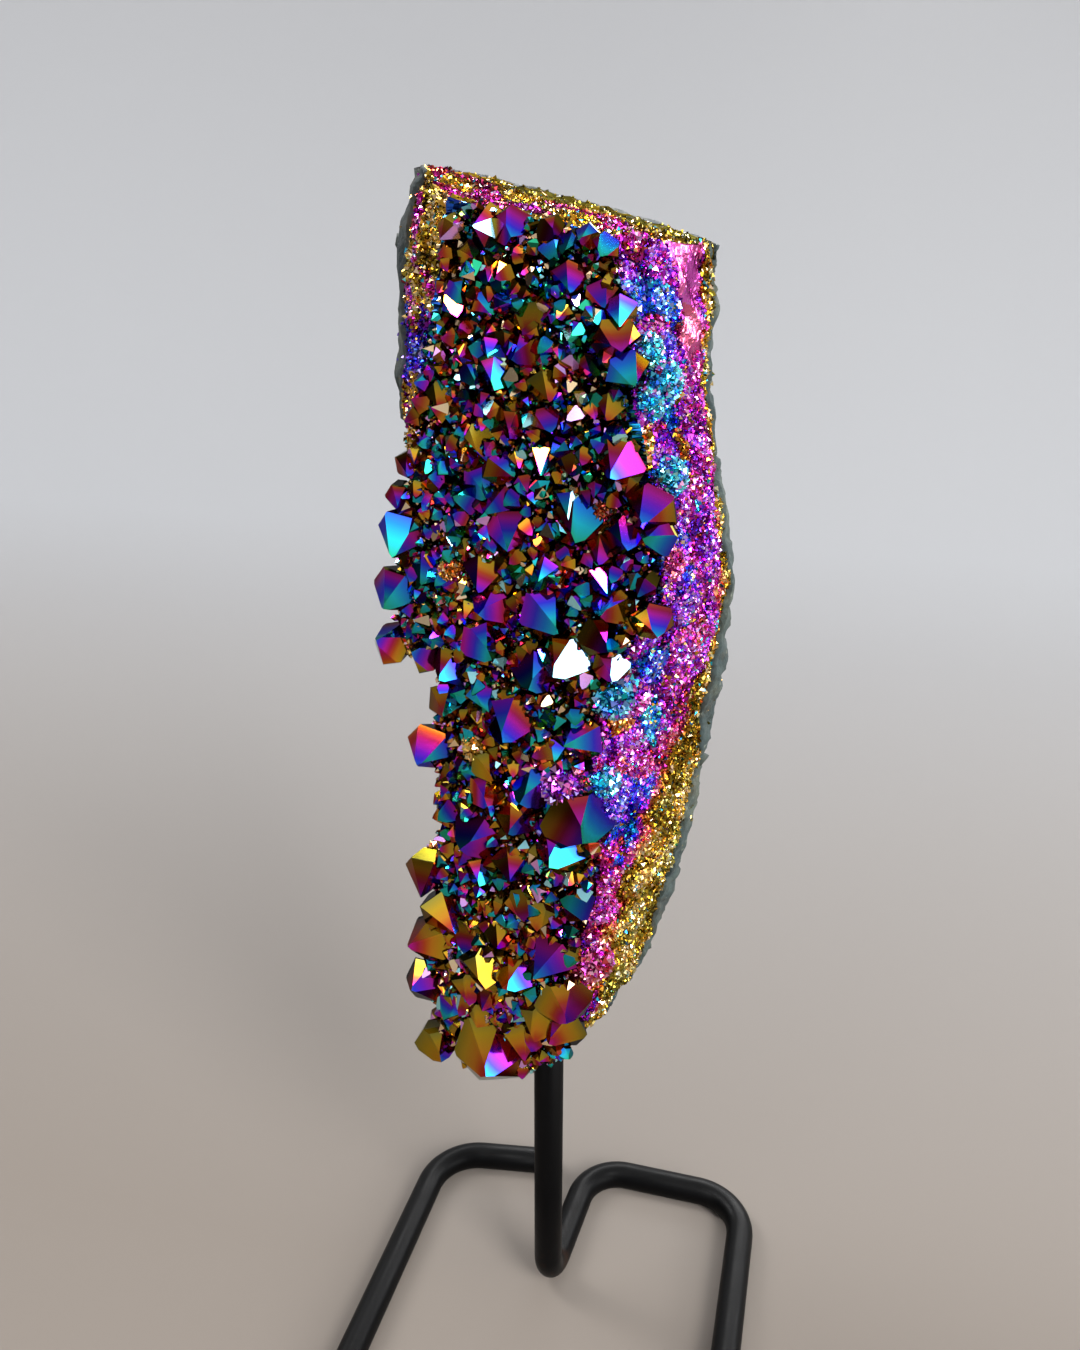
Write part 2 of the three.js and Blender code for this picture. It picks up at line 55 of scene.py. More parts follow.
ROD_RADIUS = 3.0
ROD_SIDES = 32
BASE_SIZE = 75  # between the centre lines of opposite runs
SIDE_BEND = 11  # centre-line radii of the bends
LOOSE_BEND = 12
MIDDLE_BEND = 10
FOOT_BEND = 7
BEND_STEPS = 20
POST_X = -2.7
POST_Y = 4.7
POST_TOP = 90
RUN_BACK_X = -0.3  # where the run from the post meets the back run
LOOSE_END = (-10, 37)  # the rod's free end, behind the post
LOOSE_CORNER_Y = 32.7

# ---- the crust ---------------------------------------------------------------------------------

SLAB_TURN = math.radians(-12)  # about the post
BED_FOOT = 66  # height of the lowest section
BED_HEAD = 222  # height of the highest section before the top is broken off
BED_DEPTH = 12  # the bed's usual distance in front of the post
BULGES = np.array([1, 1.5, 4.5, 1.5])  # of the front, right, back and left sides
RELIEFS = np.array([0.5, 0.9, 0.9, 0.9])  # lumps and dents of the same sides
FRONT, RIGHT, BACK, LEFT = range(4)
SIDE_STEPS = (24, 94, 32, 46)  # grid steps across each side: fine where the break shows
ROW_HEIGHT = 0.36
TOP_RINGS = 40
FOOT_RINGS = 8
MIDDLE = np.array([-2.0, -2.0])  # where the rings of the top and the underside close
SMALLEST_RING = 0.02  # as a share of the outline
TOP_BEND = 0.8  # share of the height above which rows bend to the broken top
FOOT_BEND_END = 0.15  # share of the height below which rows bend to the underside

# The slab's section at a few heights: z, then u and v of its left-front, right-front,
# right-back and left-back corners.
SECTIONS = np.array([
    [66, -16, 10, 5, 9, 10, -7.5, -10, -6],
    [78, -18.5, 10.5, 10, 11, 13.5, -11, -14, -9],
    [92, -19.5, 10.5, 11.5, 12, 16, -14, -16, -11],
    [106, -17, 11, 13.5, 13, 20, -15, -17, -12],
    [120, -14, 11, 16.5, 13, 22.3, -15.5, -18, -12],
    [134, -15.5, 11, 14.5, 13, 24.2, -15.5, -19, -12],
    [146, -13, 11, 14.5, 13, 25.6, -15.5, -20, -12],
    [157, -22.5, 10, 19.5, 13.5, 26.6, -16, -24, -12],
    [168, -23, 10, 25, 14, 26, -16, -27, -11],
    [182, -19, 11, 25, 14, 23, -16, -30, -9],
    [196, -17, 12, 20, 13.5, 20.5, -16, -32, -7],
    [212, -13, 12.5, 18.5, 13, 20.5, -16, -31.5, -6],
    [224, -10.5, 12, 13, 12, 21, -15, -23, -3],
])

# The broken top falls to the right and rises to the back, with a peak at its left corner.
TOP_HEIGHT = 221.3
TOP_FALL = 0.2  # per millimetre to the right
TOP_RISE = 0.17  # per millimetre to the back, at the left end
TOP_RISE_END = 24  # u at which the top no longer rises to the back
TOP_RISE_WIDTH = 50  # over which that rise fades
PEAK_U, PEAK_V, PEAK_HEIGHT, PEAK_SPREAD = -19, 4, 1.7, 7
FOOT_RISE = 0.6  # of the underside, per millimetre to the right
FOOT_TURN = -6  # u from which it rises

# Lumps of fused grains beside and among the points: u, v, z and radius, then the film's thickness.
GRAIN_LUMPS = np.array([
    [20, 10, 203, 2.5, 0.85],
    [20.7, 6, 203.5, 2.1, 0.66],
    [21, 7, 198.5, 3.3, 0.84],
    [20, 10, 195.5, 2.9, 0.85],
    [24, 10, 185.5, 2.9, 0.85],
    [25, 11, 173, 2.5, 0.45],
    [24, 12, 168, 2.1, 0.55],
    [16.5, 10.5, 150.5, 4.1, 0.83],
    [18.5, 8.5, 149.5, 3.3, 0.52],
    [9.5, 12.5, 134, 4.5, 0.56],
    [14.8, 10.5, 134.5, 3.1, 0.85],
    [16, 10, 130, 2.9, 0.66],
    [15, 10, 110, 2.9, 0.48],
    [13.4, 9.5, 98, 3.7, 0.42],
    [-11.8, 12, 167.5, 2.5, 0.2],
    [-7.2, 12, 137, 3.3, 0.14],
    [15.4, 12.5, 180.5, 2.9, 0.3],
    [-22, 8, 172, 3.6, 0.14],
    [-22.5, 8, 162, 3.9, 0.42],
    [-22, 7.5, 153, 3.8, 0.14],
    [-16.5, 8, 151, 3.2, 0.14],
    [-16, 7.5, 135, 3.8, 0.2],
    [-18.5, 7.5, 109, 3.8, 0.14],
    [-18.5, 7.5, 93, 3.8, 0.42],
    [-19.5, 7, 82.5, 3.8, 0.14],
    [-18, 6.5, 71, 3.8, 0.14],
])


# ---- the quartz points -------------------------------------------------------------------------

FACE_SLOPE = 1.27  # rise over run of a quartz point's faces, 51.8 degrees
ROOT_DEPTH = 2.5
ROOT_TAPER = 0.55  # the root's lower end, in radii
KEY_POINT_LENGTH = 1.2  # in radii
FIELD_POINT_LENGTH = 1.05
MIDDLE_LENGTH, MIDDLE_EXTRA = 1.4, 1.1  # in radii, and the millimetres on top
DRUSE_LENGTH, DRUSE_EXTRA = 1.6, 1.8  # the same, where the millimetres are the most by chance
DRUSE_ROOT = 1.5
NARROWNESS = (0.02, 0.25)  # how far the wide faces reach before the narrow ones cut in
FLATTENING = (0.8, 1.1)  # how thick a point is across its first face

TURNED_ROUND = -175  # the turn in degrees of a point that stands the other way about
PAINTED_GLINT = 2  # added to the film's thickness on a face with a painted glint, which is painted nearly white

# The biggest points: u and z of the root, radius, the lean to the right and upwards, the turn of
# the first face in degrees, and the film's thickness on that face and on the one after it; a
# thickness raised by 2 marks a face with a painted glint.
KEY_POINTS = np.array([
    [-3, 219, 3.8, -0.1, 0.1, -15, PAINTED_GLINT + 0.85, 0.4],
    [-6.5, 216, 2.4, 1.1, -0.8, 115, 0.88, 0.33],
    [-8.5, 211, 2.5, 0.8, -1, 70, 0.3, 0.88],
    [-9, 208.5, 2.7, 0.5, -0.5, 120, 0.35, 0.78],
    [-3.5, 209, 2.7, 1.1, -0.7, 145, 0.88, 0.5],
    [0.5, 219, 3.3, 0.5, -0.3, 75, 0.62, 0.5],
    [7, 216.5, 2.4, 0.8, -1.3, 45, 0.88, 0.95],
    [6.5, 218.5, 2.5, 0.7, -0.2, 65, 0.35, 0.45],
    [12, 217.5, 2.4, 0, 0, -20, 0.33, 0.95],
    [14.5, 216.5, 2.4, 0.2, -0.4, 55, 0.98, 0.5],
    [9.5, 217, 2.4, 0, -0.5, -30, 0.88, 0.95],
    [10, 212.5, 3.3, 0.4, -0.5, 75, 0.55, 0.72],
    [14.5, 210.5, 2.7, 0.7, -0.7, 140, 0.62, 0.4],
    [17, 208.5, 2.9, 0.5, -0.8, 75, 0.8, 0.75],
    [-4.5, 202.5, 2.9, -0.2, 0.2, -35, 0.75, 0.85],
    [-2, 200, 3.7, 0.3, -0.9, 55, 0.92, 0.6],
    [3, 202.5, 3.4, -0.1, -0.2, -10, 0.42, 0.6],
    [-6.5, 199, 2.4, 0.8, -0.7, 60, 0.62, 0.85],
    [-12.5, 195.5, 2.9, 0.4, -0.7, 85, 0.15, 0.12],
    [6.5, 198, 3.5, 0.6, -0.6, 90, 0.12, 0.1],
    [1, 192.5, 3.2, 0.2, -0.7, 30, 0.3, 0.42],
    [-15.5, 188.5, 2.6, -0.1, -0.2, -20, 0.8, 0.55],
    [-1.5, 185.5, 3.8, 1.2, -0.3, 150, 0.75, 0.35],
    [-20, 184, 2.9, 0.4, -0.5, 70, 0.5, 0.48],
    [6, 187, 3.1, 0.2, -0.5, 35, 0.8, 0.4],
    [-5, 183, 3.9, 0.6, -0.6, 75, 0.78, 0.8],
    [16.5, 205, 3.9, 0.8, -0.5, 120, 0.35, 0.48],
    [13, 201, 2.8, 0.8, -0.6, 105, 0.88, 0.5],
    [18.5, 200.5, 3.5, 0.9, -0.6, 145, 0.85, 0.9],
    [16.5, 195.5, 3, 0.2, -0.5, 55, 0.12, 0.4],
    [7, 193, 3.2, 0.5, -0.4, 120, 0.6, 0.42],
    [18.5, 188, 4.5, 0.1, -0.3, 20, 0.6, 0.45],
    [11, 181, 4.2, 0.3, -0.6, 52, PAINTED_GLINT + 0.85, 0.85],
    [12, 178.5, 4.8, 0.3, -0.4, 65, 0.92, 0.42],
    [20, 177.5, 3.6, 0.4, -0.4, 85, 0.6, 0.8],
    [23.5, 181.5, 4.2, 0.1, -0.2, 60, 0.62, 0.45],
    [24.5, 178, 3.4, -0.2, 0, -50, 0.95, 0.6],
    [16, 175, 3.4, 0.2, -0.5, 55, 0.45, 0.4],
    [16.5, 170, 3.5, 0.5, -0.4, 70, 0.7, 0.6],
    [17.5, 166, 3.9, 0, -0.1, -15, 0.25, 0.65],
    [6.5, 163, 5.7, 0.8, -0.2, 70, 0.58, 0.8],
    [10, 156.5, 4.9, 0, -0.3, 20, PAINTED_GLINT + 0.85, 0.3],
    [17.5, 156.5, 3.4, 0.5, -0.4, 60, PAINTED_GLINT + 0.85, 0.5],
    [4.5, 153, 4.9, 0.2, -0.2, 10, 0.62, 0.75],
    [15.5, 161, 4.1, 0.8, -0.3, 60, 0.7, 0.45],
    [24, 165, 3.6, 0.7, -0.5, 95, 0.62, 0.28],
    [-21.5, 173, 5.1, 0, -0.8, TURNED_ROUND, 0.6, 0.98],
    [-22.5, 178.5, 2.8, 0.4, -0.6, 35, 0.6, 0.58],
    [-24, 162.5, 4.9, 0, -0.5, 5, 0.88, 0.72],
    [-25.5, 152, 4.4, -0.1, 0.4, -35, 0.42, 0.78],
    [-18.5, 151, 3.6, -0.2, 0.4, -35, 0.6, 0.75],
    [-12.5, 150.5, 4.4, 0, -0.2, 15, 0.72, 0.35],
    [-5.5, 157, 4.9, 0.8, -0.5, 80, 0.58, 0.78],
    [-5, 168, 4.5, 0.2, -0.4, 65, 0.36, 0.62],
    [-3.5, 163, 4.1, -0.1, -0.1, -20, 0.52, 0.58],
    [-1.5, 180, 3.7, -0.3, -0.3, 0, 0.66, 0.45],
    [0, 176, 4.4, 0.3, -0.6, 36, 0.45, 0.7],
    [-8.5, 180, 3, -0.1, 0.2, -45, 0.88, 0.92],
    [-13.5, 143.5, 4.4, 0.3, -0.1, 55, 0.88, 0.28],
    [-17.5, 134.5, 4.9, 0, -0.3, TURNED_ROUND, 0.85, 0.52],
    [0, 143.5, 5.7, 0.2, -0.2, 45, 0.5, 0.72],
    [-5, 134, 4.1, 0.7, -0.2, 75, 0.5, 0.12],
    [-5, 129, 4.4, 0.4, -0.1, 65, 0.18, 0.55],
    [4, 132, 4.9, 0, -0.1, -5, 0.6, 0.88],
    [-7.5, 120, 5.4, -0.1, -0.1, -35, 0.5, 0.65],
    [1, 125.5, 4.9, 0.1, -0.1, 15, 0.6, 0.28],
    [12, 128, 6.2, 0.6, -0.1, 55, 0.88, 0.45],
    [9.5, 122.5, 5.7, 0.1, -0.1, 30, 0.9, 0.52],
    [-19.5, 109, 5.2, 0.2, -0.8, 25, 0.55, 0.37],
    [12.5, 143, 4.4, -0.2, 0, -15, 0.88, 0.55],
    [-16, 101.5, 5.7, 1, -0.5, 105, 0.5, 0.12],
    [-19.5, 93, 5.2, -0.4, 0.1, -30, 0.3, 0.25],
    [-21.5, 82.5, 4.9, 0, 0.2, 25, 0.56, 0.2],
    [-6, 73, 8.5, 0.35, 0.1, 50, 0.5, 0.17],
    [-20, 69, 4.9, 0.8, -0.5, 65, 0.5, 0.12],
    [9, 90, 5.2, 0.6, -0.2, 60, 0.45, 0.3],
    [7, 99.5, 5.4, -0.1, -0.3, 5, 0.66, 0.6],
    [0, 92.5, 4.6, 0.1, 0, 25, 0.7, 0.25],
    [12, 112, 4.1, -0.3, 0.5, -30, 0.88, 0.3],
    [-3, 100.5, 4.1, 0.3, 0, 25, 0.4, 0.15],
    [0, 116, 4.4, 0.3, -0.1, 25, 0.6, 0.4],
    [-7.5, 112.5, 3.6, 0.4, -0.4, 60, 0.8, 0.52],
])

# The spread points: the first and last of their numbers, then the range of their radii as shares
# of the grown radius, how far their leans scatter, and how close they stand to the biggest points.
LARGE_POINTS = (1, 190, 0.95, 1.3, 0.6, 0.62)
SMALL_POINTS = (191, 390, 0.6, 0.85, 0.6, 0.6)
MIDDLE_POINTS = (391, 2300, 0.28, 0.66, 0.8, 0.5)
DRUSE_POINTS = (2301, 7400, 0.12, 0.24, 0.9, 0.42)
GROWN_RADIUS = (4.4, 2.5)  # of the large and small ones at the bed's foot and head
YOUNG_RADIUS = (2.8, 3.2)  # of the middle ones and the druse
GOLDEN_STEPS = (0.7548776662, 0.569840291)  # of two even spreads that never fall in line
SPREAD_U = (-26, 28)
SPREAD_Z = (69, 222)
SPREAD_LEAN = (0.2, -0.4)  # to the right and upwards
EDGE_LEAN = (-0.5, -0.4)  # added at the bed's left edge and at its lower edge
EDGE_WIDTH = 7  # from the left edge to where that lean has gone
FOOT_EDGE = (72, 84)  # heights between which the lower edge's lean goes
EDGE_MARGIN = 0.02  # the least distance from the bed's sides, as a share of its width
ZONE_HEIGHTS = [66, 90, 130, 180, 222]  # the film grows thicker up the slab: at these heights
ZONE_FILM = [0.26, 0.36, 0.54, 0.6, 0.8]  # it is this thick
PRISM_FILM = 0.14
PAINTED_GLINT_SHARES = (0.04, 0.16, 0.42)  # shares of the larger, middle and finest points' faces that get a painted glint

# What the smaller points keep clear of: u, z and radius of the biggest points and the lumps.
OBSTACLES = np.concatenate([KEY_POINTS[:, :3], GRAIN_LUMPS[:, [0, 2, 3]]])


# ---- helpers -----------------------------------------------------------------------------------

def chance(count, purpose):
    """A repeatable number from 0 to 1: the fractional part of a large multiple of a sine.

    count numbers the things, and purpose is a number of its own for each use.
    """
    wave = np.sin(count * 12.9898 + purpose * 78.233) * 43758.5453
    return wave - np.floor(wave)


def chances(count, purpose):
    """Three such numbers for each thing, one after the other."""
    return np.stack([chance(count, purpose + i) for i in range(3)], axis=-1)


def either_way(count, purpose):
    """A repeatable number from -0.5 to 0.5."""
    return chance(count, purpose) - 0.5


def mix(low, high, share):
    """low at share 0 and high at share 1, in a straight line between."""
    return low + (high - low) * share


def ease(value, start, end):
    """0 before start and 1 after end, on a smooth S curve between."""
    share = np.clip((value - start) / (end - start), 0, 1)
    return share * share * (3 - 2 * share)


def unit(vectors):
    """The same directions at length 1."""
    return vectors / np.maximum(np.linalg.norm(vectors, axis=-1, keepdims=True), 1e-12)


def wrapped_grid(rows, columns):
    """A grid of points that closes sideways: each point's number, and that of the one beside it.

    The last row is left out, so a row more gives the points above.
    """
    row, column = np.meshgrid(np.arange(rows - 1), np.arange(columns), indexing="ij")
    return (row * columns + column).ravel(), (row * columns + (column + 1) % columns).ravel()


def slab_point(u, v, z):
    """Slab distances turned by the slab's turn about the post's axis, in the frame's axes."""
    x = POST_X + u * math.cos(SLAB_TURN) + v * math.sin(SLAB_TURN)
    y = POST_Y + u * math.sin(SLAB_TURN) - v * math.cos(SLAB_TURN)
    return np.stack([x, y, z + 0 * x], axis=-1)


def slab_direction(u, v, z):
    """A direction given in the slab's own u, v and z, in the frame's axes."""
    x = u * math.cos(SLAB_TURN) + v * math.sin(SLAB_TURN)
    y = u * math.sin(SLAB_TURN) - v * math.cos(SLAB_TURN)
    return np.stack([x, y, z + 0 * x], axis=-1)


def slab_place(points):
    """u, v and z of points given in the frame's axes: slab_point the other way round."""
    x = points[..., 0] - POST_X
    y = points[..., 1] - POST_Y
    u = x * math.cos(SLAB_TURN) + y * math.sin(SLAB_TURN)
    v = x * math.sin(SLAB_TURN) - y * math.cos(SLAB_TURN)
    return u, v, points[..., 2]


def add_piece(name, points, faces, material, node, film=None, smooth=False):
    """One mesh object at the origin from points in millimetres and faces of equal sides.

    It rides on the one body and stands for the frame's node. film holds u and v for each corner
    of each face, the film's thickness and brightness.
    """
    mesh = bpy.data.meshes.new(name)
    sides = faces.shape[1]
    mesh.vertices.add(len(points))
    mesh.vertices.foreach_set("co", (points * METRE).astype(np.float32).ravel())
    mesh.loops.add(faces.size)
    mesh.loops.foreach_set("vertex_index", faces.astype(np.int32).ravel())
    mesh.polygons.add(len(faces))
    mesh.polygons.foreach_set("loop_start", np.arange(0, faces.size, sides, dtype=np.int32))
    mesh.polygons.foreach_set("use_smooth", np.full(len(faces), smooth))
    mesh.update(calc_edges=True)
    if film is not None:
        layer = mesh.uv_layers.new(name="OFBake")
        layer.uv.foreach_set("vector", film.astype(np.float32).ravel())
    mesh.materials.append(material)
    piece = bpy.data.objects.new(name, mesh)
    bpy.context.scene.collection.objects.link(piece)
    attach(piece, "root")
    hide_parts(node)


def add_quartz(name, points, faces, material, film=None, smooth=False):
    """A piece of the crystal cluster."""
    add_piece(name, points, faces, material, "crystal_cluster", film, smooth)


# ---- materials ---------------------------------------------------------------------------------

def colour(code):
    """An sRGB hex value as linear red, green, blue and alpha."""
    parts = [int(code[i:i + 2], 16) / 255 for i in (1, 3, 5)]
    return [p / 12.92 if p <= 0.04045 else ((p + 0.055) / 1.055) ** 2.4 for p in parts] + [1]


def add_node(tree, kind, settings=None, **links):
    """A node of that kind with its settings, and its inputs given a value or another's output.

    An input is named, or numbered after an underscore where names repeat.
    """
    node = tree.nodes.new(kind)
    for key, value in (settings or {}).items():
        setattr(node, key, value)
    for key, value in links.items():
        number = key[1:]
        socket = node.inputs[int(number) if number.isdigit() else key.replace("_", " ")]
        if isinstance(value, bpy.types.NodeSocket):
            tree.links.new(value, socket)
        else:
            socket.default_value = value
    return node


def new_material(name):
    """A node material with only its shader and output: the material, its tree and the shader."""
    material = bpy.data.materials.new(name)
    material.use_nodes = True
    tree = material.node_tree
    return material, tree, tree.nodes["Principled BSDF"]


def set_ramp(node, stops):
    """Puts the stops, each a place and a linear colour, into a colour ramp."""
    ramp = node.color_ramp
    for place, value in stops[1:-1]:
        ramp.elements.new(place).color = value
    ramp.elements[0].position, ramp.elements[0].color = stops[0]
    ramp.elements[-1].position, ramp.elements[-1].color = stops[-1]


def greys(stops):
    """Stops of a place and a share, as stops of a place and a grey."""
    return [(place, (share, share, share, 1)) for place, share in stops]


def pattern_scale(size):
    """The scale of a pattern whose features are that many millimetres across."""
    return 1 / (size * METRE)


# Interference colours of a thin metal film, from thin to thick: olive, gold, orange, red, crimson,
# magenta, violet, blue, azure, teal and green.
FILM_STOPS = [
    (0.00, "#6a6420"),
    (0.12, "#8c6f06"),
    (0.24, "#96600a"),
    (0.33, "#8c300c"),
    (0.41, "#84083a"),
    (0.50, "#8e067e"),
    (0.60, "#5c08a4"),
    (0.69, "#2420b0"),
    (0.78, "#085cb0"),
    (0.88, "#068c9e"),
    (1.00, "#0c7c56"),
]

# Places on those stops, by the colour that they give.
OLIVE, GOLD, AMBER, ORANGE = 0.06, 0.12, 0.15, 0.2
CRIMSON, MAGENTA, VIOLET = 0.46, 0.51, 0.62
BLUE, AZURE, TEAL = 0.7, 0.81, 0.92

# How pale and how rough the film is by its brightness, which is up to 0.72 on smooth faces, from
# 0.8 on fine grain, and from 0.97 on faces with a painted glint, whose paleness is a painted highlight.
PALE_STOPS = [(0.0, 0.0), (0.72, 0.01), (0.8, 0.09), (0.94, 0.15), (0.97, 0.42)]
ROUGH_STOPS = [(0.0, 0.14), (0.72, 0.05), (0.8, 0.24), (0.94, 0.24), (0.97, 0.16)]
FULL_GAIN = 3.6  # what the colours are multiplied by at brightness 1
BRIGHTEST_GRAIN = 0.955
# The brightness of a face with a painted glint: nearly white.
PAINTED_GLINT_BRIGHTNESS = 0.99
TOP_BRIGHTNESS = 0.66  # of the broken top, as a share
MAP_EDGE = 0.004  # the least distance of a place on the film's map from the map's edge


def titanium_film_on_quartz():
    """Metal vapour laid on quartz in a vacuum: a mirror whose colour follows its thickness.

    The eye gets saturated bands of gold, magenta, blue and teal and sharp reflections, paler where
    the quartz is finely grained. The film's thickness and brightness come from the piece's map; the
    brightness holds painted shade in the gaps and grooves and painted glints that are nearly white.
    """
    material, tree, shader = new_material("titanium_film_on_quartz")
    film = add_node(tree, "ShaderNodeUVMap", {"uv_map": "OFBake"})
    parts = add_node(tree, "ShaderNodeSeparateXYZ", Vector=film.outputs["UV"])
    bands = add_node(tree, "ShaderNodeValToRGB", Fac=parts.outputs["X"])
    set_ramp(bands, [(place, colour(code)) for place, code in FILM_STOPS])
    brightness = parts.outputs["Y"]
    gain = add_node(tree, "ShaderNodeMapRange", _0=brightness, _1=0.0, _2=1.0, _3=0.0, _4=FULL_GAIN)
    tint = add_node(
        tree, "ShaderNodeVectorMath", {"operation": "SCALE"},
        _0=bands.outputs["Color"], _3=gain.outputs["Result"],
    )
    paleness = add_node(tree, "ShaderNodeValToRGB", Fac=brightness)
    set_ramp(paleness, greys(PALE_STOPS))
    body = add_node(
        tree, "ShaderNodeMix", {"data_type": "RGBA"},
        _0=paleness.outputs["Color"], _6=tint.outputs["Vector"], _7=colour("#ffffff"),
    )
    dull = add_node(tree, "ShaderNodeValToRGB", Fac=brightness)
    set_ramp(dull, greys(ROUGH_STOPS))
    tree.links.new(body.outputs[2], shader.inputs["Base Color"])
    tree.links.new(dull.outputs["Color"], shader.inputs["Roughness"])
    shader.inputs["Metallic"].default_value = 1
    shader.inputs["Specular Tint"].default_value = colour("#303030")
    shader.inputs["Coat Weight"].default_value = 0.25
    shader.inputs["Coat Roughness"].default_value = 0.04
    return material


def celadonite_rind():
    """The weathered outside of a basalt geode: clouds of grey green clay with rusty stains.

    The eye gets a dull, powdery stone with a fine grain and pale specks of feldspar.
    """
    material, tree, shader = new_material("celadonite_rind")
    place = add_node(tree, "ShaderNodeTexCoord").outputs["Object"]
    clouds = add_node(
        tree, "ShaderNodeTexNoise", Vector=place, Scale=pattern_scale(12), Detail=6.0, Roughness=0.6
    )
    fine = add_node(
        tree, "ShaderNodeTexNoise", Vector=place, Scale=pattern_scale(1.1), Detail=4.0, Roughness=0.65
    )
    body = add_node(tree, "ShaderNodeValToRGB", Fac=clouds.outputs["Fac"])
    set_ramp(body, [(0.3, colour("#2f3e44")), (0.5, colour("#4d5b59")), (0.7, colour("#70786a"))])
    stain = add_node(
        tree, "ShaderNodeTexNoise", Vector=place, Scale=pattern_scale(19), Detail=7.0, Roughness=0.7
    )
    rusty = add_node(tree, "ShaderNodeMapRange", _0=stain.outputs["Fac"], _1=0.53, _2=0.72, _3=0.0, _4=0.6)
    stained = add_node(
        tree, "ShaderNodeMix", {"data_type": "RGBA"},
        _0=rusty.outputs["Result"], _6=body.outputs["Color"], _7=colour("#6e5c3e"),
    )
    feldspar = add_node(tree, "ShaderNodeTexVoronoi", Vector=place, Scale=pattern_scale(2.6))
    speck = add_node(
        tree, "ShaderNodeMapRange", _0=feldspar.outputs["Distance"], _1=0.12, _2=0.2, _3=0.35, _4=0.0
    )
    specked = add_node(
        tree, "ShaderNodeMix", {"data_type": "RGBA"},
        _0=speck.outputs["Result"], _6=stained.outputs[2], _7=colour("#a3aa9c"),
    )
    grain = add_node(tree, "ShaderNodeMapRange", _0=fine.outputs["Fac"], _1=0.3, _2=0.7, _3=0.6, _4=1.2)
    tint = add_node(
        tree, "ShaderNodeVectorMath", {"operation": "SCALE"},
        _0=specked.outputs[2], _3=grain.outputs["Result"],
    )
    bump = add_node(tree, "ShaderNodeBump", Strength=0.7, Distance=0.0006, Height=fine.outputs["Fac"])
    rough = add_node(tree, "ShaderNodeMapRange", _0=fine.outputs["Fac"], _1=0.3, _2=0.7, _3=0.7, _4=0.95)
    tree.links.new(tint.outputs["Vector"], shader.inputs["Base Color"])
    tree.links.new(rough.outputs["Result"], shader.inputs["Roughness"])
    tree.links.new(bump.outputs["Normal"], shader.inputs["Normal"])
    return material


RUST_CORE = 4  # distances from the foot of the post between which the rust fades
RUST_END = 18


def black_powder_coat():
    """Baked polyester powder on steel, which melts to a skin with a fine orange peel.

    The eye gets a near black satin, and a little rust brown where the rod was bent at the foot of
    the post.
    """
    material, tree, shader = new_material("black_powder_coat")
    place = add_node(tree, "ShaderNodeTexCoord").outputs["Object"]
    peel = add_node(tree, "ShaderNodeTexNoise", Vector=place, Scale=pattern_scale(0.8), Detail=2.0)
    blotch = add_node(
        tree, "ShaderNodeTexNoise", Vector=place, Scale=pattern_scale(6), Detail=5.0, Roughness=0.7
    )
    away = add_node(
        tree, "ShaderNodeVectorMath", {"operation": "DISTANCE"},
        _0=place, _1=(POST_X * METRE, POST_Y * METRE, ROD_RADIUS * METRE),
    )
    near = add_node(
        tree, "ShaderNodeMapRange",
        _0=away.outputs["Value"], _1=RUST_CORE * METRE, _2=RUST_END * METRE, _3=1.0, _4=0.0,
    )
    worn = add_node(tree, "ShaderNodeMapRange", _0=blotch.outputs["Fac"], _1=0.5, _2=0.68, _3=0.0, _4=0.5)
    rust = add_node(
        tree, "ShaderNodeMath", {"operation": "MULTIPLY"},
        _0=near.outputs["Result"], _1=worn.outputs["Result"],
    )
    body = add_node(
        tree, "ShaderNodeMix", {"data_type": "RGBA"},
        _0=rust.outputs["Value"], _6=colour("#050506"), _7=colour("#3a2418"),
    )
    rough = add_node(tree, "ShaderNodeMapRange", _0=blotch.outputs["Fac"], _1=0.3, _2=0.7, _3=0.36, _4=0.5)
    shader.inputs["Specular IOR Level"].default_value = 0.1
    bump = add_node(tree, "ShaderNodeBump", Strength=0.25, Distance=0.0001, Height=peel.outputs["Fac"])
    tree.links.new(body.outputs[2], shader.inputs["Base Color"])
    tree.links.new(rough.outputs["Result"], shader.inputs["Roughness"])
    tree.links.new(bump.outputs["Normal"], shader.inputs["Normal"])
    return material


# ---- the rod -----------------------------------------------------------------------------------

def bend_points(before, corner, after, radius):
    """The arc that rounds a corner: a circle of that radius touching both straight runs."""
    towards_before = unit(before - corner)
    towards_after = unit(after - corner)
    half = math.acos(float(towards_before @ towards_after)) / 2
    bisector = unit(towards_before + towards_after)
    sideways = unit(towards_after - towards_before)
    centre = corner + bisector * radius / math.sin(half)
    angle = np.linspace(half - math.pi / 2, math.pi / 2 - half, BEND_STEPS + 1)[:, None]
    return centre - bisector * radius * np.cos(angle) + sideways * radius * np.sin(angle)


def rod_path():
    """The rod's centre line, from its loose end behind the post to the top of the post."""
    half = BASE_SIZE / 2
    corners = np.array([
        (*LOOSE_END, ROD_RADIUS),
        (-half, LOOSE_CORNER_Y, ROD_RADIUS),
        (-half, -half, ROD_RADIUS),
        (half, -half, ROD_RADIUS),
        (half, half, ROD_RADIUS),
        (RUN_BACK_X, half, ROD_RADIUS),
        (POST_X, POST_Y, ROD_RADIUS),
        (POST_X, POST_Y, POST_TOP),
    ])
    radii = (LOOSE_BEND, SIDE_BEND, SIDE_BEND, SIDE_BEND, MIDDLE_BEND, FOOT_BEND)
    bends = [bend_points(*corners[i:i + 3], radius) for i, radius in enumerate(radii)]
    return np.concatenate([corners[:1], *bends, corners[-1:]])


NEARLY_UPRIGHT = 0.05  # the level part of a direction below which it counts as upright
CAP_INSET = 0.8  # the inner ring of a rod's end, in radii
CAP_RISE = 0.1


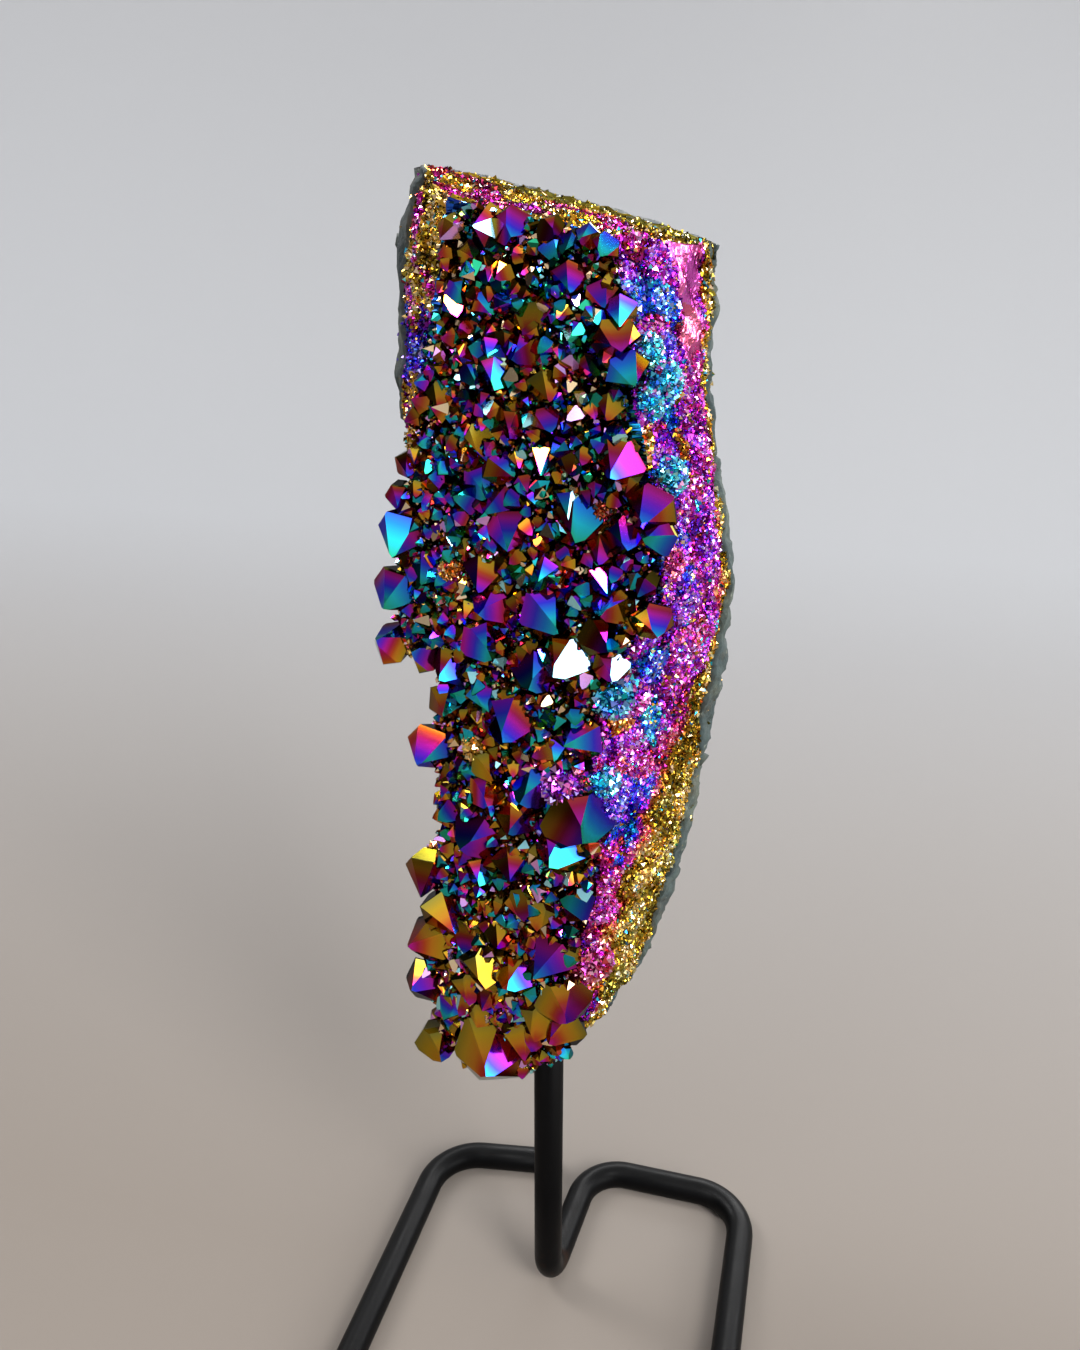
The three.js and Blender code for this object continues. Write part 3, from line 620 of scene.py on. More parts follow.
def tube(path, radius, sides):
    """A circle carried along a path, as rings of points joined by quads and open at both ends.

    At each point the circle lies across the mean of the runs before and after. Its first axis is
    level, across the path, and stays as it is where the path turns upright.
    """
    runs = unit(np.diff(path, axis=0))
    along = unit(np.concatenate([runs[:1], runs[:-1] + runs[1:], runs[-1:]]))
    level = np.cross((0, 0, 1), along)
    flat = np.linalg.norm(level, axis=1) > NEARLY_UPRIGHT
    last_flat = np.maximum.accumulate(np.where(flat, np.arange(len(path)), 0))
    level = unit(level[last_flat])
    across = np.cross(along, level)
    angle = np.linspace(0, 2 * math.pi, sides, endpoint=False)
    ring = level[:, None] * np.cos(angle)[:, None] + across[:, None] * np.sin(angle)[:, None]
    points = (path[:, None] + ring * radius).reshape(-1, 3)
    here, beside = wrapped_grid(len(path), sides)
    return points, np.stack([here, beside, beside + sides, here + sides], axis=-1)


def end_caps(points, faces, path, radius, sides):
    """Closes a tube's ends: at each a band to a smaller ring further out, and quads across it."""
    rings = []
    caps = []
    count = len(points)
    ends = (
        (0, 0, unit(path[0] - path[1])),
        (-1, count - sides, unit(path[-1] - path[-2])),
    )
    for end, first, outwards in ends:
        rim = points[first:first + sides]
        middle = path[end]
        start = count + len(rings) * sides
        rings.append(middle + (rim - middle) * CAP_INSET + outwards * radius * CAP_RISE)
        column = np.arange(sides)
        beside = (column + 1) % sides
        band = np.stack([first + beside, first + column, start + column, start + beside], axis=-1)
        lid = np.arange(sides // 2 - 1)
        far = start + sides - 1 - lid
        quads = np.stack([start + lid, far, far - 1, start + lid + 1], axis=-1)
        if end == -1:
            band, quads = band[:, ::-1], quads[:, ::-1]
        caps += [band, quads]
    return np.concatenate([points, *rings]), np.concatenate([faces, *caps])


def bent_rod():
    """The stand: one round rod, smooth, with its ends closed."""
    path = rod_path()
    points, faces = tube(path, ROD_RADIUS, ROD_SIDES)
    points, faces = end_caps(points, faces, path, ROD_RADIUS, ROD_SIDES)
    coat = black_powder_coat()
    add_piece("bent_rod", points, faces, coat, "stand_rod", smooth=True)


# ---- the crust's form --------------------------------------------------------------------------

def section_corners(z):
    """u and v of the four corners at each height, between the two nearest sections."""
    values = [np.interp(z, SECTIONS[:, 0], SECTIONS[:, i]) for i in range(1, 9)]
    return np.stack(values, axis=-1).reshape(*np.shape(z), 4, 2)


def lumps(u, v, z):
    """Smooth lumps about 8 mm across, from -1 to 1: two products of sines, broad and fine."""
    broad = np.sin(0.38 * u + 1.7 * np.sin(0.09 * z)) * np.sin(0.33 * z + 0.4 * v)
    fine = np.sin(0.83 * v - 0.71 * z + 0.5) * np.sin(0.77 * u + 0.29 * z)
    return 0.6 * broad + 0.4 * fine


def top_height(u, v):
    """The height of the broken top: a plane that falls to the right, with a round peak."""
    to_the_back = (BED_DEPTH - v) * TOP_RISE * np.clip((TOP_RISE_END - u) / TOP_RISE_WIDTH, 0, 1)
    away = ((u - PEAK_U) ** 2 + (v - PEAK_V) ** 2) / PEAK_SPREAD ** 2
    return TOP_HEIGHT - TOP_FALL * u + to_the_back + PEAK_HEIGHT * np.exp(-away)


def foot_height(u):
    """The height of the underside, which rises to the right."""
    return BED_FOOT + FOOT_RISE * np.maximum(u - FOOT_TURN, 0)


def bent_height(u, v, rise):
    """The height of a row of the slab: level, but bent near the ends to the top and underside."""
    at_top = ease(rise, TOP_BEND, 1) * (top_height(u, v) - BED_HEAD)
    at_foot = (1 - ease(rise, 0, FOOT_BEND_END)) * (foot_height(u) - BED_FOOT)
    return mix(BED_FOOT, BED_HEAD, rise) + at_top + at_foot


def outline_place(side, along, z):
    """u and v on the slab's outline: a straight side, bulged as a parabola, with lumps."""
    corners = section_corners(z)
    start = np.take_along_axis(corners, side[..., None, None], axis=-2)[..., 0, :]
    end = np.take_along_axis(corners, (side[..., None, None] + 1) % 4, axis=-2)[..., 0, :]
    outwards = unit(np.stack([start[..., 1] - end[..., 1], end[..., 0] - start[..., 0]], axis=-1))
    place = start + (end - start) * along[..., None]
    raised = BULGES[side] * 4 * along * (1 - along)
    raised = raised + RELIEFS[side] * lumps(place[..., 0], place[..., 1], z)
    return place + outwards * raised[..., None]


def crust_grid():
    """The crust as a grid that closes on itself: rings of the underside, rows, rings of the top.

    Returns the points, and for each the side it is on, how far along that side, how far up and
    how far out it is.
    """
    side = np.repeat(np.arange(4), SIDE_STEPS)
    along = np.concatenate([np.arange(steps) / steps for steps in SIDE_STEPS])
    rows = round((BED_HEAD - BED_FOOT) / ROW_HEIGHT)
    out = np.concatenate([
        np.linspace(SMALLEST_RING, 1, FOOT_RINGS, endpoint=False),
        np.ones(rows + 1),
        np.linspace(1, SMALLEST_RING, TOP_RINGS + 1)[1:],
    ])
    rise = np.concatenate([np.zeros(FOOT_RINGS), np.linspace(0, 1, rows + 1), np.ones(TOP_RINGS)])
    out, side_grid = np.meshgrid(out, side, indexing="ij")
    rise, along_grid = np.meshgrid(rise, along, indexing="ij")
    level = mix(BED_FOOT, BED_HEAD, rise)
    place = MIDDLE + (outline_place(side_grid, along_grid, level) - MIDDLE) * out[..., None]
    u, v = place[..., 0], place[..., 1]
    return np.stack([u, v, bent_height(u, v, rise)], axis=-1), side_grid, along_grid, rise, out


def grid_normals(grid):
    """Outward directions of a grid that closes sideways: up the rows crossed with along them."""
    sideways = np.roll(grid, -1, axis=1) - np.roll(grid, 1, axis=1)
    upwards = np.gradient(grid, axis=0)
    return unit(np.cross(upwards, sideways))


CUBE_NUMBERS = np.array([1.0, 71.0, 5041.0])  # give each cube of seeds a number of its own


def seeds_near(points, size, purpose):
    """The seeds round each point, where one stands at a chance place in every cube of that size.

    Yields the number and the seed of the point's own cube, and of each of the 26 round it.
    """
    cell = np.floor(points / size)
    for step in product((-1, 0, 1), repeat=3):
        cube = cell + step
        number = cube @ CUBE_NUMBERS
        yield number, (cube + chances(number, purpose)) * size


def facets(points, size, steepness, purpose):
    """A surface broken into flat facets, each the tilted plane of one of the seeds round it.

    At a point, the seed with the highest plane less the distance squared wins. Returns the
    plane's height and the seed's number.
    """
    best = np.full(len(points), -np.inf)
    height = np.zeros(len(points))
    owner = np.zeros(len(points))
    for number, seed in seeds_near(points, size, purpose):
        tilt = (chances(number, purpose + 3) - 0.5) * 2 * steepness
        away = points - seed
        plane = (away * tilt).sum(axis=1)
        score = plane - (away ** 2).sum(axis=1) / size
        wins = score > best
        best = np.where(wins, score, best)
        height = np.where(wins, plane, height)
        owner = np.where(wins, number, owner)
    return height, owner


def swellings(points, size, purpose):
    """Rounded swellings with grooves between them: 1 at a seed, less the distance squared.

    Returns that height, from the nearest seed, and the seed's number.
    """
    nearest = np.full(len(points), np.inf)
    owner = np.zeros(len(points))
    for number, seed in seeds_near(points, size, purpose):
        away = np.linalg.norm(points - seed, axis=1)
        wins = away < nearest
        nearest = np.where(wins, away, nearest)
        owner = np.where(wins, number, owner)
    return 1 - np.clip(nearest / size, 0, 1) ** 2, owner


CRUST_SUNK = 0.35  # of the broken surface into the slab,
SUNK_UNDER_RIND = 0.8  # and more where the rind lies over it
SMOOTH_PLACE, SMOOTH_WIDTH, SMOOTH_FOOT = 0.65, 0.15, 201  # the smooth patch on the right side
GROOVE_SHADE = 0.45  # painted shade: the brightness at the bottoms of the grooves, as a share


def crust_skin():
    """The broken surface of the slab, before it is a mesh.

    The grid moved out along its normals by rounded swellings and two sizes of flat facets, then
    sunk a little. One patch, high on the right, is smooth. Returns one value for each grid point
    under each name. open is the share of light that it gets, least in the grooves, which the film's
    brightness takes as painted shade. patch and facet number the swelling and the fine facet that
    it lies on.
    """
    grid, side, along, rise, out = crust_grid()
    skin = {"side": side.ravel(), "along": along.ravel(), "out": out.ravel()}
    skin["top"] = (skin["out"] < 1) & (rise.ravel() > 0.5)
    skin["columns"] = len(grid[0])
    skin["rows"] = len(grid)
    skin["normal"] = grid_normals(grid).reshape(-1, 3)
    place = grid.reshape(-1, 3)
    skin["place"] = place
    swelling, skin["patch"] = swellings(place, 6.0, 11)
    coarse, _ = facets(place, 2.4, 0.45, 14)
    fine, skin["facet"] = facets(place, 0.85, 0.85, 21)
    on_right = skin["side"] == RIGHT
    wander = lumps(place[:, 0], place[:, 1], place[:, 2])
    beside_edge = np.abs(skin["along"] + 0.05 * wander - SMOOTH_PLACE) < SMOOTH_WIDTH
    high = place[:, 2] + 2 * wander > SMOOTH_FOOT
    skin["smooth"] = on_right & beside_edge & high & (skin["out"] > 0.97)
    # Painted shade: darker in the grooves between the swellings.
    skin["open"] = mix(GROOVE_SHADE, 1, ease(swelling, 0.55, 0.8))
    rounded = np.where(on_right, 1.3 - 0.6 * ease(skin["along"], 0.25, 0.5), 0.4)
    broken = np.where(skin["smooth"], 0.15, 1)
    under_rind = (skin["side"] == BACK) & (skin["out"] == 1)
    relief = broken * (rounded * (swelling - 0.7) + 0.35 * coarse + 0.5 * fine)
    relief = relief - CRUST_SUNK - SUNK_UNDER_RIND * under_rind
    skin["points"] = place + skin["normal"] * relief[:, None]
    return skin


RIGHT_BANDS = [0, 0.35, 0.45, 0.8, 0.85, 1]  # places across the right side, front to back,
RIGHT_FILM = [MAGENTA, MAGENTA, MAGENTA, 0.49, GOLD, OLIVE]  # and the film's thickness there
FRONT_HEIGHTS = [66, 120, 222]
FRONT_FILM = [0.3, 0.6, 0.8]


def crust_film(skin, chosen):
    """The film's middle thickness over the chosen grid points of the crust.

    The right is magenta. By patches it is azure, blue or orange beside the points, and it turns
    olive low down and along the back. On the left gold and crimson run in slanting streaks, with
    one violet stretch. The top is crimson and amber, olive at the back. Whole patches differ.
    """
    names = ("side", "along", "top", "place", "patch", "smooth")
    side, along, top, place, patch, smooth = [skin[name][chosen] for name in names]
    v, z = place[:, 1], place[:, 2]
    patch_chance = chance(patch, 36)
    wander = lumps(1.3 * v, z, 0.8 * z)
    back = along + 0.08 * wander + 0.14 * either_way(patch, 30)
    right = np.interp(back, RIGHT_BANDS, RIGHT_FILM)
    shares = [patch_chance < 0.14, patch_chance < 0.24, patch_chance < 0.36]
    right = np.where(back < 0.42, np.select(shares, [AZURE, BLUE, ORANGE], right), right)
    low = ease(back, 0.12, 0.4) * (1 - ease(z - 40 * back, 100, 116))
    right = np.where(smooth, CRIMSON, mix(right, OLIVE, low))
    streak = np.sin(0.5 * (z + 1.5 * v) + 1.2 * np.sin(0.3 * z) + 1.6 * wander) + patch_chance
    left = np.where(streak > 1.1, CRIMSON, GOLD)
    left = np.where(np.abs(z + 4 * wander - 202) < 5, VIOLET, left)
    front = np.interp(z, FRONT_HEIGHTS, FRONT_FILM)
    thickness = np.choose(side, [front, right, np.full(len(z), GOLD), left])
    broken_top = mix(np.where(patch_chance < 0.4, 0.44, AMBER), 0.04, ease(v, -3, -8))
    thickness = np.where(top, broken_top, thickness)
    return thickness + 0.12 * either_way(patch, 32)


def film_map(thickness, brightness, spread_u, spread_v):
    """Each corner's place on the film's map: its thickness and brightness, spread a little.

    The spread keeps a face of one colour from shrinking to a point on the map.
    """
    corner = np.arange(thickness.size).reshape(thickness.shape)
    u = thickness + either_way(corner, 41) * spread_u
    v = brightness + either_way(corner, 42) * spread_v
    return np.clip(np.stack([u, v], axis=-1), MAP_EDGE, 1 - MAP_EDGE)


def face_film(thickness, brightness, faces):
    """The film's map where each face has one thickness and one brightness."""
    corners = np.ones(faces.shape)
    return film_map(thickness[:, None] * corners, brightness[:, None] * corners, 0.03, 0.06)


def crust_faces(rows, columns):
    """Two triangles between grid points, and a fan about a further point at either end.

    Returns the faces, and for each the grid point that it takes its film from.
    """
    here, beside = wrapped_grid(rows, columns)
    first = np.arange(columns)
    second = (first + 1) % columns
    last = (rows - 1) * columns
    foot = np.full(columns, rows * columns)
    faces = np.concatenate([
        np.stack([here, beside, beside + columns], axis=-1),
        np.stack([here, beside + columns, here + columns], axis=-1),
        np.stack([second, first, foot], axis=-1),
        np.stack([last + first, last + second, foot + 1], axis=-1),
    ])
    return faces, np.concatenate([here, here, first, last + first])


def coated_crust(skin, material):
    """The slab as one closed mesh, with the film on every facet.

    Its brightness is painted darkest, as shade, on the front between the points and in the grooves,
    and it is darker on the top.
    """
    columns, points = skin["columns"], skin["points"]
    ends = np.array([points[:columns].mean(axis=0), points[-columns:].mean(axis=0)])
    faces, source = crust_faces(skin["rows"], columns)
    side, facet = skin["side"][source], skin["facet"][source]
    rough = ~skin["smooth"][source]
    spread = np.where(side == RIGHT, 0.26, 0.16)
    thickness = crust_film(skin, source) + rough * either_way(facet, 33) * spread
    # Painted shade: the front between the points is painted dark, and the grooves darker.
    shaded_front = (side == FRONT) & (skin["out"][source] == 1)
    brightness = np.select([shaded_front, side == LEFT, rough], [0.34, 0.84, 0.8], 0.925)
    brightness = brightness + either_way(facet, 34) * np.where(rough, 0.5, 0.04)
    brightness = brightness * np.where(rough, skin["open"][source], 1)
    brightness = brightness * np.where(skin["top"][source], TOP_BRIGHTNESS, 1)
    film = face_film(thickness, brightness, faces)
    u, v, z = np.concatenate([points, ends]).T
    add_quartz("coated_crust", slab_point(u, v, z), faces, material, film)


# ---- the fused grains --------------------------------------------------------------------------

GRAIN_HEIGHT = 0.75  # in radii
GRAIN_ROOT = 0.4
GRAIN_RADIUS = (0.25, 0.65)
GRAIN_SHARES = np.array([0, 0.47, 0, 0.42])  # of the crust's grid points on each side
TOP_GRAIN_SHARE = 0.8
TOP_GRAIN_SIZE = 0.7
LUMP_GRAINS = 300  # on each lump
LUMP_GRAIN_RADIUS = (0.1, 0.24)  # in radii of the lump


def grains(root, outwards, radius, thickness, brightness):
    """Corners of quartz: on each root a triangle under an apex, closed, with a film of its own.

    The triangle lies across the direction outwards, and the apex is above its middle. One face
    in eight is painted as bright as can be, a painted glint.
    """
    count = np.arange(len(root))
    start = unit(np.cross(outwards, chances(count, 51) - 0.5))
    across = np.cross(outwards, start)
    angle = np.arange(3) * 2 * math.pi / 3
    ring = start[:, None] * np.cos(angle)[:, None] + across[:, None] * np.sin(angle)[:, None]
    foot = root - outwards * (GRAIN_ROOT * radius)[:, None]
    corners = foot[:, None] + ring * radius[:, None, None]
    apex = root + outwards * (GRAIN_HEIGHT * radius)[:, None]
    points = np.concatenate([corners, apex[:, None]], axis=1).reshape(-1, 3)
    pattern = np.array([(0, 1, 3), (1, 2, 3), (2, 0, 3), (2, 1, 0)])
    faces = (pattern + 4 * count[:, None, None]).reshape(-1, 3)
    number = np.arange(len(faces))
    thickness = np.repeat(thickness, 4) + 0.12 * either_way(number, 54)
    brightness = np.repeat(brightness, 4) + 0.36 * either_way(number, 55)
    brightness = np.minimum(brightness, BRIGHTEST_GRAIN)
    # Painted glints: one face in eight is painted nearly white.
    brightness = np.where(chance(number, 56) < 0.12, 1, brightness)
    return points, faces, face_film(thickness, brightness, faces)


def scattered(outwards, spread, purpose):
    """Directions leaned from the given ones by up to that much to every side."""
    number = np.arange(len(outwards))
    return unit(outwards + 2 * spread * (chances(number, purpose) - 0.5))


def sugar_grains(skin, material):
    """Grains from half to one and a third millimetres across, on some of the crust's grid points.

    They stand on the broken right and left sides, fewer low down, and closest on the top, where
    they are smaller. A few are amber or teal.
    """
    number = np.arange(len(skin["side"]))
    share = np.where(skin["out"] == 1, GRAIN_SHARES[skin["side"]], 0)
    share = np.where(skin["top"], TOP_GRAIN_SHARE, share)
    share = share * mix(0.55, 1, ease(skin["place"][:, 2], 100, 140))
    share = np.where(skin["smooth"], 0, share)
    kept = chance(number, 61) < share
    number = number[kept]
    on_top = skin["top"][kept]
    thickness = crust_film(skin, kept) + 0.1 * either_way(number, 62)
    speck = chance(number, 63)
    thickness = np.where(speck < 0.07, 0.16, np.where(speck > 0.96, 0.86, thickness))
    # Painted shade: the grains are painted darker in the grooves.
    brightness = mix(0.5, 1.25, chance(number, 64)) * skin["open"][kept]
    brightness = brightness * np.where(on_top, TOP_BRIGHTNESS, 1)
    radius = mix(*GRAIN_RADIUS, chance(number, 65)) * np.where(on_top, TOP_GRAIN_SIZE, 1)
    root = slab_point(*skin["points"][kept].T)
    outwards = scattered(slab_direction(*skin["normal"][kept].T), 0.8, 66)
    points, faces, film = grains(root, outwards, radius, thickness, brightness)
    add_quartz("sugar_grains", points, faces, material, film)


def ball(columns, rows):
    """A unit sphere from rows of rings and a point at either pole, as triangles facing out."""
    tall = np.linspace(0, math.pi, rows + 2)[1:-1]
    angle = np.arange(columns) * 2 * math.pi / columns
    rings = np.stack([
        np.sin(tall)[:, None] * np.cos(angle),
        np.sin(tall)[:, None] * np.sin(angle),
        np.cos(tall)[:, None] + 0 * angle,
    ], axis=-1).reshape(-1, 3)
    points = np.concatenate([rings, [(0, 0, 1), (0, 0, -1)]])
    here, beside = wrapped_grid(rows, columns)
    first = np.arange(columns)
    second = (first + 1) % columns
    last = (rows - 1) * columns
    faces = np.concatenate([
        np.stack([here, here + columns, beside + columns], axis=-1),
        np.stack([here, beside + columns, beside], axis=-1),
        np.stack([np.full(columns, len(rings)), first, second], axis=-1),
        np.stack([np.full(columns, len(rings) + 1), last + second, last + first], axis=-1),
    ])
    return points, faces


def even_directions(count):
    """Directions spread evenly over a sphere: equal steps down and golden turns about z."""
    step = np.arange(count) + 0.5
    tall = 1 - 2 * step / count
    turn = step * math.pi * (1 + math.sqrt(5))
    flat = np.sqrt(1 - tall ** 2)
    return np.stack([flat * np.cos(turn), flat * np.sin(turn), tall], axis=-1)


def grain_lumps(material):
    """Round lumps of grains: balls, each covered with grains whose roots are spread evenly."""
    u, v, z, radius, thickness = GRAIN_LUMPS.T
    middle = slab_point(u, v, z)
    ball_points, ball_faces = ball(20, 11)
    cores = middle[:, None] + ball_points * (0.95 * radius)[:, None, None]
    core_faces = (ball_faces + len(ball_points) * np.arange(len(u))[:, None, None]).reshape(-1, 3)
    core_thickness = np.repeat(thickness, len(ball_faces))
    # Painted shade: the cores are painted dark, as shade between the grains.
    core_film = face_film(core_thickness, np.full(len(core_faces), 0.25), core_faces)
    outwards = np.tile(even_directions(LUMP_GRAINS), (len(u), 1))
    reach = np.repeat(radius, LUMP_GRAINS)
    root = np.repeat(middle, LUMP_GRAINS, axis=0) + outwards * reach[:, None]
    number = np.arange(len(root))
    shade = np.repeat(thickness, LUMP_GRAINS) + 0.16 * either_way(number, 71)
    shade = np.where(chance(number, 72) < 0.1, 0.5, shade)
    size = reach * mix(*LUMP_GRAIN_RADIUS, chance(number, 73))
    brightness = mix(0.85, 1.1, chance(number, 77))
    grain = grains(root, scattered(outwards, 0.6, 74), size, shade, brightness)
    points = np.concatenate([cores.reshape(-1, 3), grain[0]])
    faces = np.concatenate([core_faces, grain[1] + cores.size // 3])
    film = np.concatenate([core_film, grain[2]])
    add_quartz("grain_lumps", points, faces, material, film)


# ---- the quartz points -------------------------------------------------------------------------

APEX = 0
RIDGE_ENDS = 1  # three, where the faces meet below the apex
SHORT_EDGES = 4  # six, the ends of the short upper edges of every other prism face
SHOULDERS = 10  # six corners of the prism
ROOTS = 16  # six, in the bed
CORNERS = 22
NARROW_FACES = 3  # planes 0 to 2 are the wide faces, 3 to 5 the narrow ones
PRISM_PLANE = 6


def point_faces():
    """The 40 triangles of a quartz point and the plane that each lies in: three wide faces, three
    narrow ones, then the prism and the root together.
    """
    triangles = []
    planes = []
    for k in range(3):
        before, after = (k + 2) % 3, k
        low, high = SHOULDERS + (2 * k - 1) % 6, SHOULDERS + 2 * k
        rim = [
            RIDGE_ENDS + before, SHORT_EDGES + 2 * before + 1, low,
            high, SHORT_EDGES + 2 * after, RIDGE_ENDS + after,
        ]
        triangles += [(APEX, rim[i], rim[i + 1]) for i in range(5)]
        start, end = SHORT_EDGES + 2 * k, SHORT_EDGES + 2 * k + 1
        triangles += [(RIDGE_ENDS + k, start, end)]
        triangles += [(low, low + 6, high + 6), (low, high + 6, high)]
        left, right = SHOULDERS + 2 * k, SHOULDERS + 2 * k + 1
        triangles += [(left, left + 6, right + 6), (left, right + 6, right)]
        triangles += [(left, right, end), (left, end, start)]
        planes += [k] * 5 + [NARROW_FACES + k] + [PRISM_PLANE] * 6
    triangles += [(ROOTS, ROOTS + i + 1, ROOTS + i) for i in range(1, 5)]
    planes += [PRISM_PLANE] * 4
    return np.array(triangles), np.array(planes)


def ring_corner(radius, angle, height):
    """Points at a radius, an angle and a height."""
    return np.stack([radius * math.cos(angle), radius * math.sin(angle), height], axis=-1)


def point_corners(radius, length, narrow, depth):
    """The 22 corners of each quartz point, standing at the origin.

    Its faces rise at the slope of quartz. narrow, from 0 to 0.5 of the distance to a prism face,
    is how far the apex's three wide faces reach before the narrow ones cut in.
    """
    flat = radius * math.cos(math.pi / 6)
    reach = narrow * flat
    turn = math.pi / 3
    corners = np.zeros((len(radius), CORNERS, 3))
    corners[:, APEX, 2] = length
    for k in range(3):
        ridge = (2 * k + 1) * turn
        corners[:, RIDGE_ENDS + k] = ring_corner(2 * reach, ridge, length - FACE_SLOPE * reach)
        half_edge = (flat / 2 - reach) / math.sin(turn)
        for end, sign in ((0, -1), (1, 1)):
            place = ring_corner(flat, ridge, length - FACE_SLOPE * (flat - reach))
            place[:, 0] -= sign * half_edge * math.sin(ridge)
            place[:, 1] += sign * half_edge * math.cos(ridge)
            corners[:, SHORT_EDGES + 2 * k + end] = place
    for k in range(6):
        angle = (k + 0.5) * turn
        corners[:, SHOULDERS + k] = ring_corner(radius, angle, length - FACE_SLOPE * flat)
        corners[:, ROOTS + k] = ring_corner(ROOT_TAPER * radius, angle, -depth)
    return corners


def stand_up(corners, direction, root):
    """Turns each point from upright to its direction by the shortest way and puts it on its root."""
    across = np.cross((0, 0, 1), direction)[:, None]
    once = np.cross(across, corners)
    twice = np.cross(across, once)
    return corners + once + twice / (1 + direction[:, None, 2:]) + root[:, None]


def seat(u, z, lean_right, lean_up):
    """Where points stand on the bed, and the direction in which they grew."""
    corners = section_corners(z)
    left, right = corners[:, FRONT, 0], corners[:, RIGHT, 0]
    along = np.clip((u - left) / (right - left), EDGE_MARGIN, 1 - EDGE_MARGIN)
    place = outline_place(np.zeros(len(u), int), along, z)
    root = slab_point(u, place[:, 1], z)
    return root, unit(slab_direction(lean_right, np.ones(len(u)), lean_up))


def edge_lean(u, z):
    """The lean of a point towards the bed's left and lower edges where it stands near them."""
    left = section_corners(z)[:, FRONT, 0]
    beside_left = 1 - ease(u, left, left + EDGE_WIDTH)
    beside_foot = 1 - ease(z, *FOOT_EDGE)
    return EDGE_LEAN[0] * beside_left, EDGE_LEAN[1] * beside_foot


def spread_points(group, obstacles, grown):
    """Numbers, places, radii, leans and turns of points spread evenly over the bed.

    Two golden steps give their places. They lean down and a little to the right, by chance more
    or less by up to scatter. grown is the radius of a full-grown point at the bed's foot and head.
    A point over the bed's edge is left out, and so is one that stands nearer to an obstacle than
    closeness times the sum of their radii.
    """
    first, last, low, high, scatter, closeness = group
    count = np.arange(first, last + 1)
    u = mix(*SPREAD_U, (count * GOLDEN_STEPS[0]) % 1)
    z = mix(*SPREAD_Z, (count * GOLDEN_STEPS[1]) % 1)
    corners = section_corners(z)
    rise = (z - SPREAD_Z[0]) / (SPREAD_Z[1] - SPREAD_Z[0])
    radius = mix(*grown, rise) * mix(low, high, chance(count, 3))
    left, right = corners[:, FRONT, 0], corners[:, RIGHT, 0]
    across_bed = (u > left + 2.5 * ease(z, 180, 195) - 1) & (u < right - 1.2)
    up_bed = (z > foot_height(u) + radius) & (z < top_height(u, BED_DEPTH) - 0.8 * radius)
    away = np.hypot(u[:, None] - obstacles[:, 0], z[:, None] - obstacles[:, 1])
    clear = (away > closeness * (obstacles[:, 2] + radius[:, None])).all(axis=1)
    kept = across_bed & up_bed & clear
    count, u, z, radius = count[kept], u[kept], z[kept], radius[kept]
    lean_right, lean_up = edge_lean(u, z)
    lean_right = lean_right + SPREAD_LEAN[0] + scatter * mix(-1, 1, chance(count, 4))
    lean_up = lean_up + SPREAD_LEAN[1] + scatter * mix(-1, 1, chance(count, 5))
    return count, u, z, radius, lean_right, lean_up, 2 * math.pi * chance(count, 2)


def spread_film(grown):
    """The film's middle thickness on the wide and narrow faces of spread points and their prism.

    It is thicker high on the slab and on faces turned down and to the right, and each point and
    each face differs. Two points in five are gold and one in seven is teal. Some faces are painted
    with a glint, nearly white.
    """
    count, z, twist = grown[0], grown[2], grown[6]
    plane = np.arange(6)
    angle = twist[:, None] + (plane * 2 + (plane >= NARROW_FACES)) * math.pi / 3
    zone = np.interp(z, ZONE_HEIGHTS, ZONE_FILM)[:, None]
    film = zone + 0.1 * np.cos(angle + math.pi / 6) + 0.3 * either_way(count, 6)[:, None]
    film = film + 0.45 * either_way(count[:, None] + 0.37 * plane, 7)
    kind = chance(count, 9)[:, None]
    film = np.where(kind < 0.4, 0.13 + 0.3 * (film - 0.5), film)
    film = np.where(kind > 0.85, TEAL + 0.3 * (film - 0.5), film)
    group = [count < MIDDLE_POINTS[0], count < DRUSE_POINTS[0]]
    glint_share = np.select(group, PAINTED_GLINT_SHARES[:2], PAINTED_GLINT_SHARES[2])[:, None]
    tint = chance(count, 19)[:, None]
    # Painted glints: chosen faces are painted nearly white, tinted azure, magenta or amber.
    glint_film = PAINTED_GLINT + np.select([tint < 0.3, tint < 0.5], [0.85, 0.52], AMBER)
    film = np.where(chance(count[:, None] + 0.53 * plane, 18) < glint_share, glint_film, film)
    return np.concatenate([film, np.full((len(count), 1), PRISM_FILM)], axis=1)


def key_film():
    """The same for the biggest points: as given where they look outwards, by chance elsewhere.

    The first thickness is for one wide face and the second for the narrow and the wide face after
    it. On points turned right round, the faces that look outwards are the opposite ones.
    """
    first, second = KEY_POINTS[:, 6], KEY_POINTS[:, 7]
    number = np.arange(len(first))
    other = [mix(0.1, 0.6, chance(number, purpose)) for purpose in (13, 14, 15)]
    around = np.stack([first, second, np.clip(second - 0.05, 0, 1), *other], axis=1)
    turned = (KEY_POINTS[:, 5] == TURNED_ROUND)[:, None]
    around = np.where(turned, np.roll(around, 3, axis=1), around)
    prism = np.full((len(first), 1), PRISM_FILM)
    return np.concatenate([around[:, 0::2], around[:, 1::2], prism], axis=1)


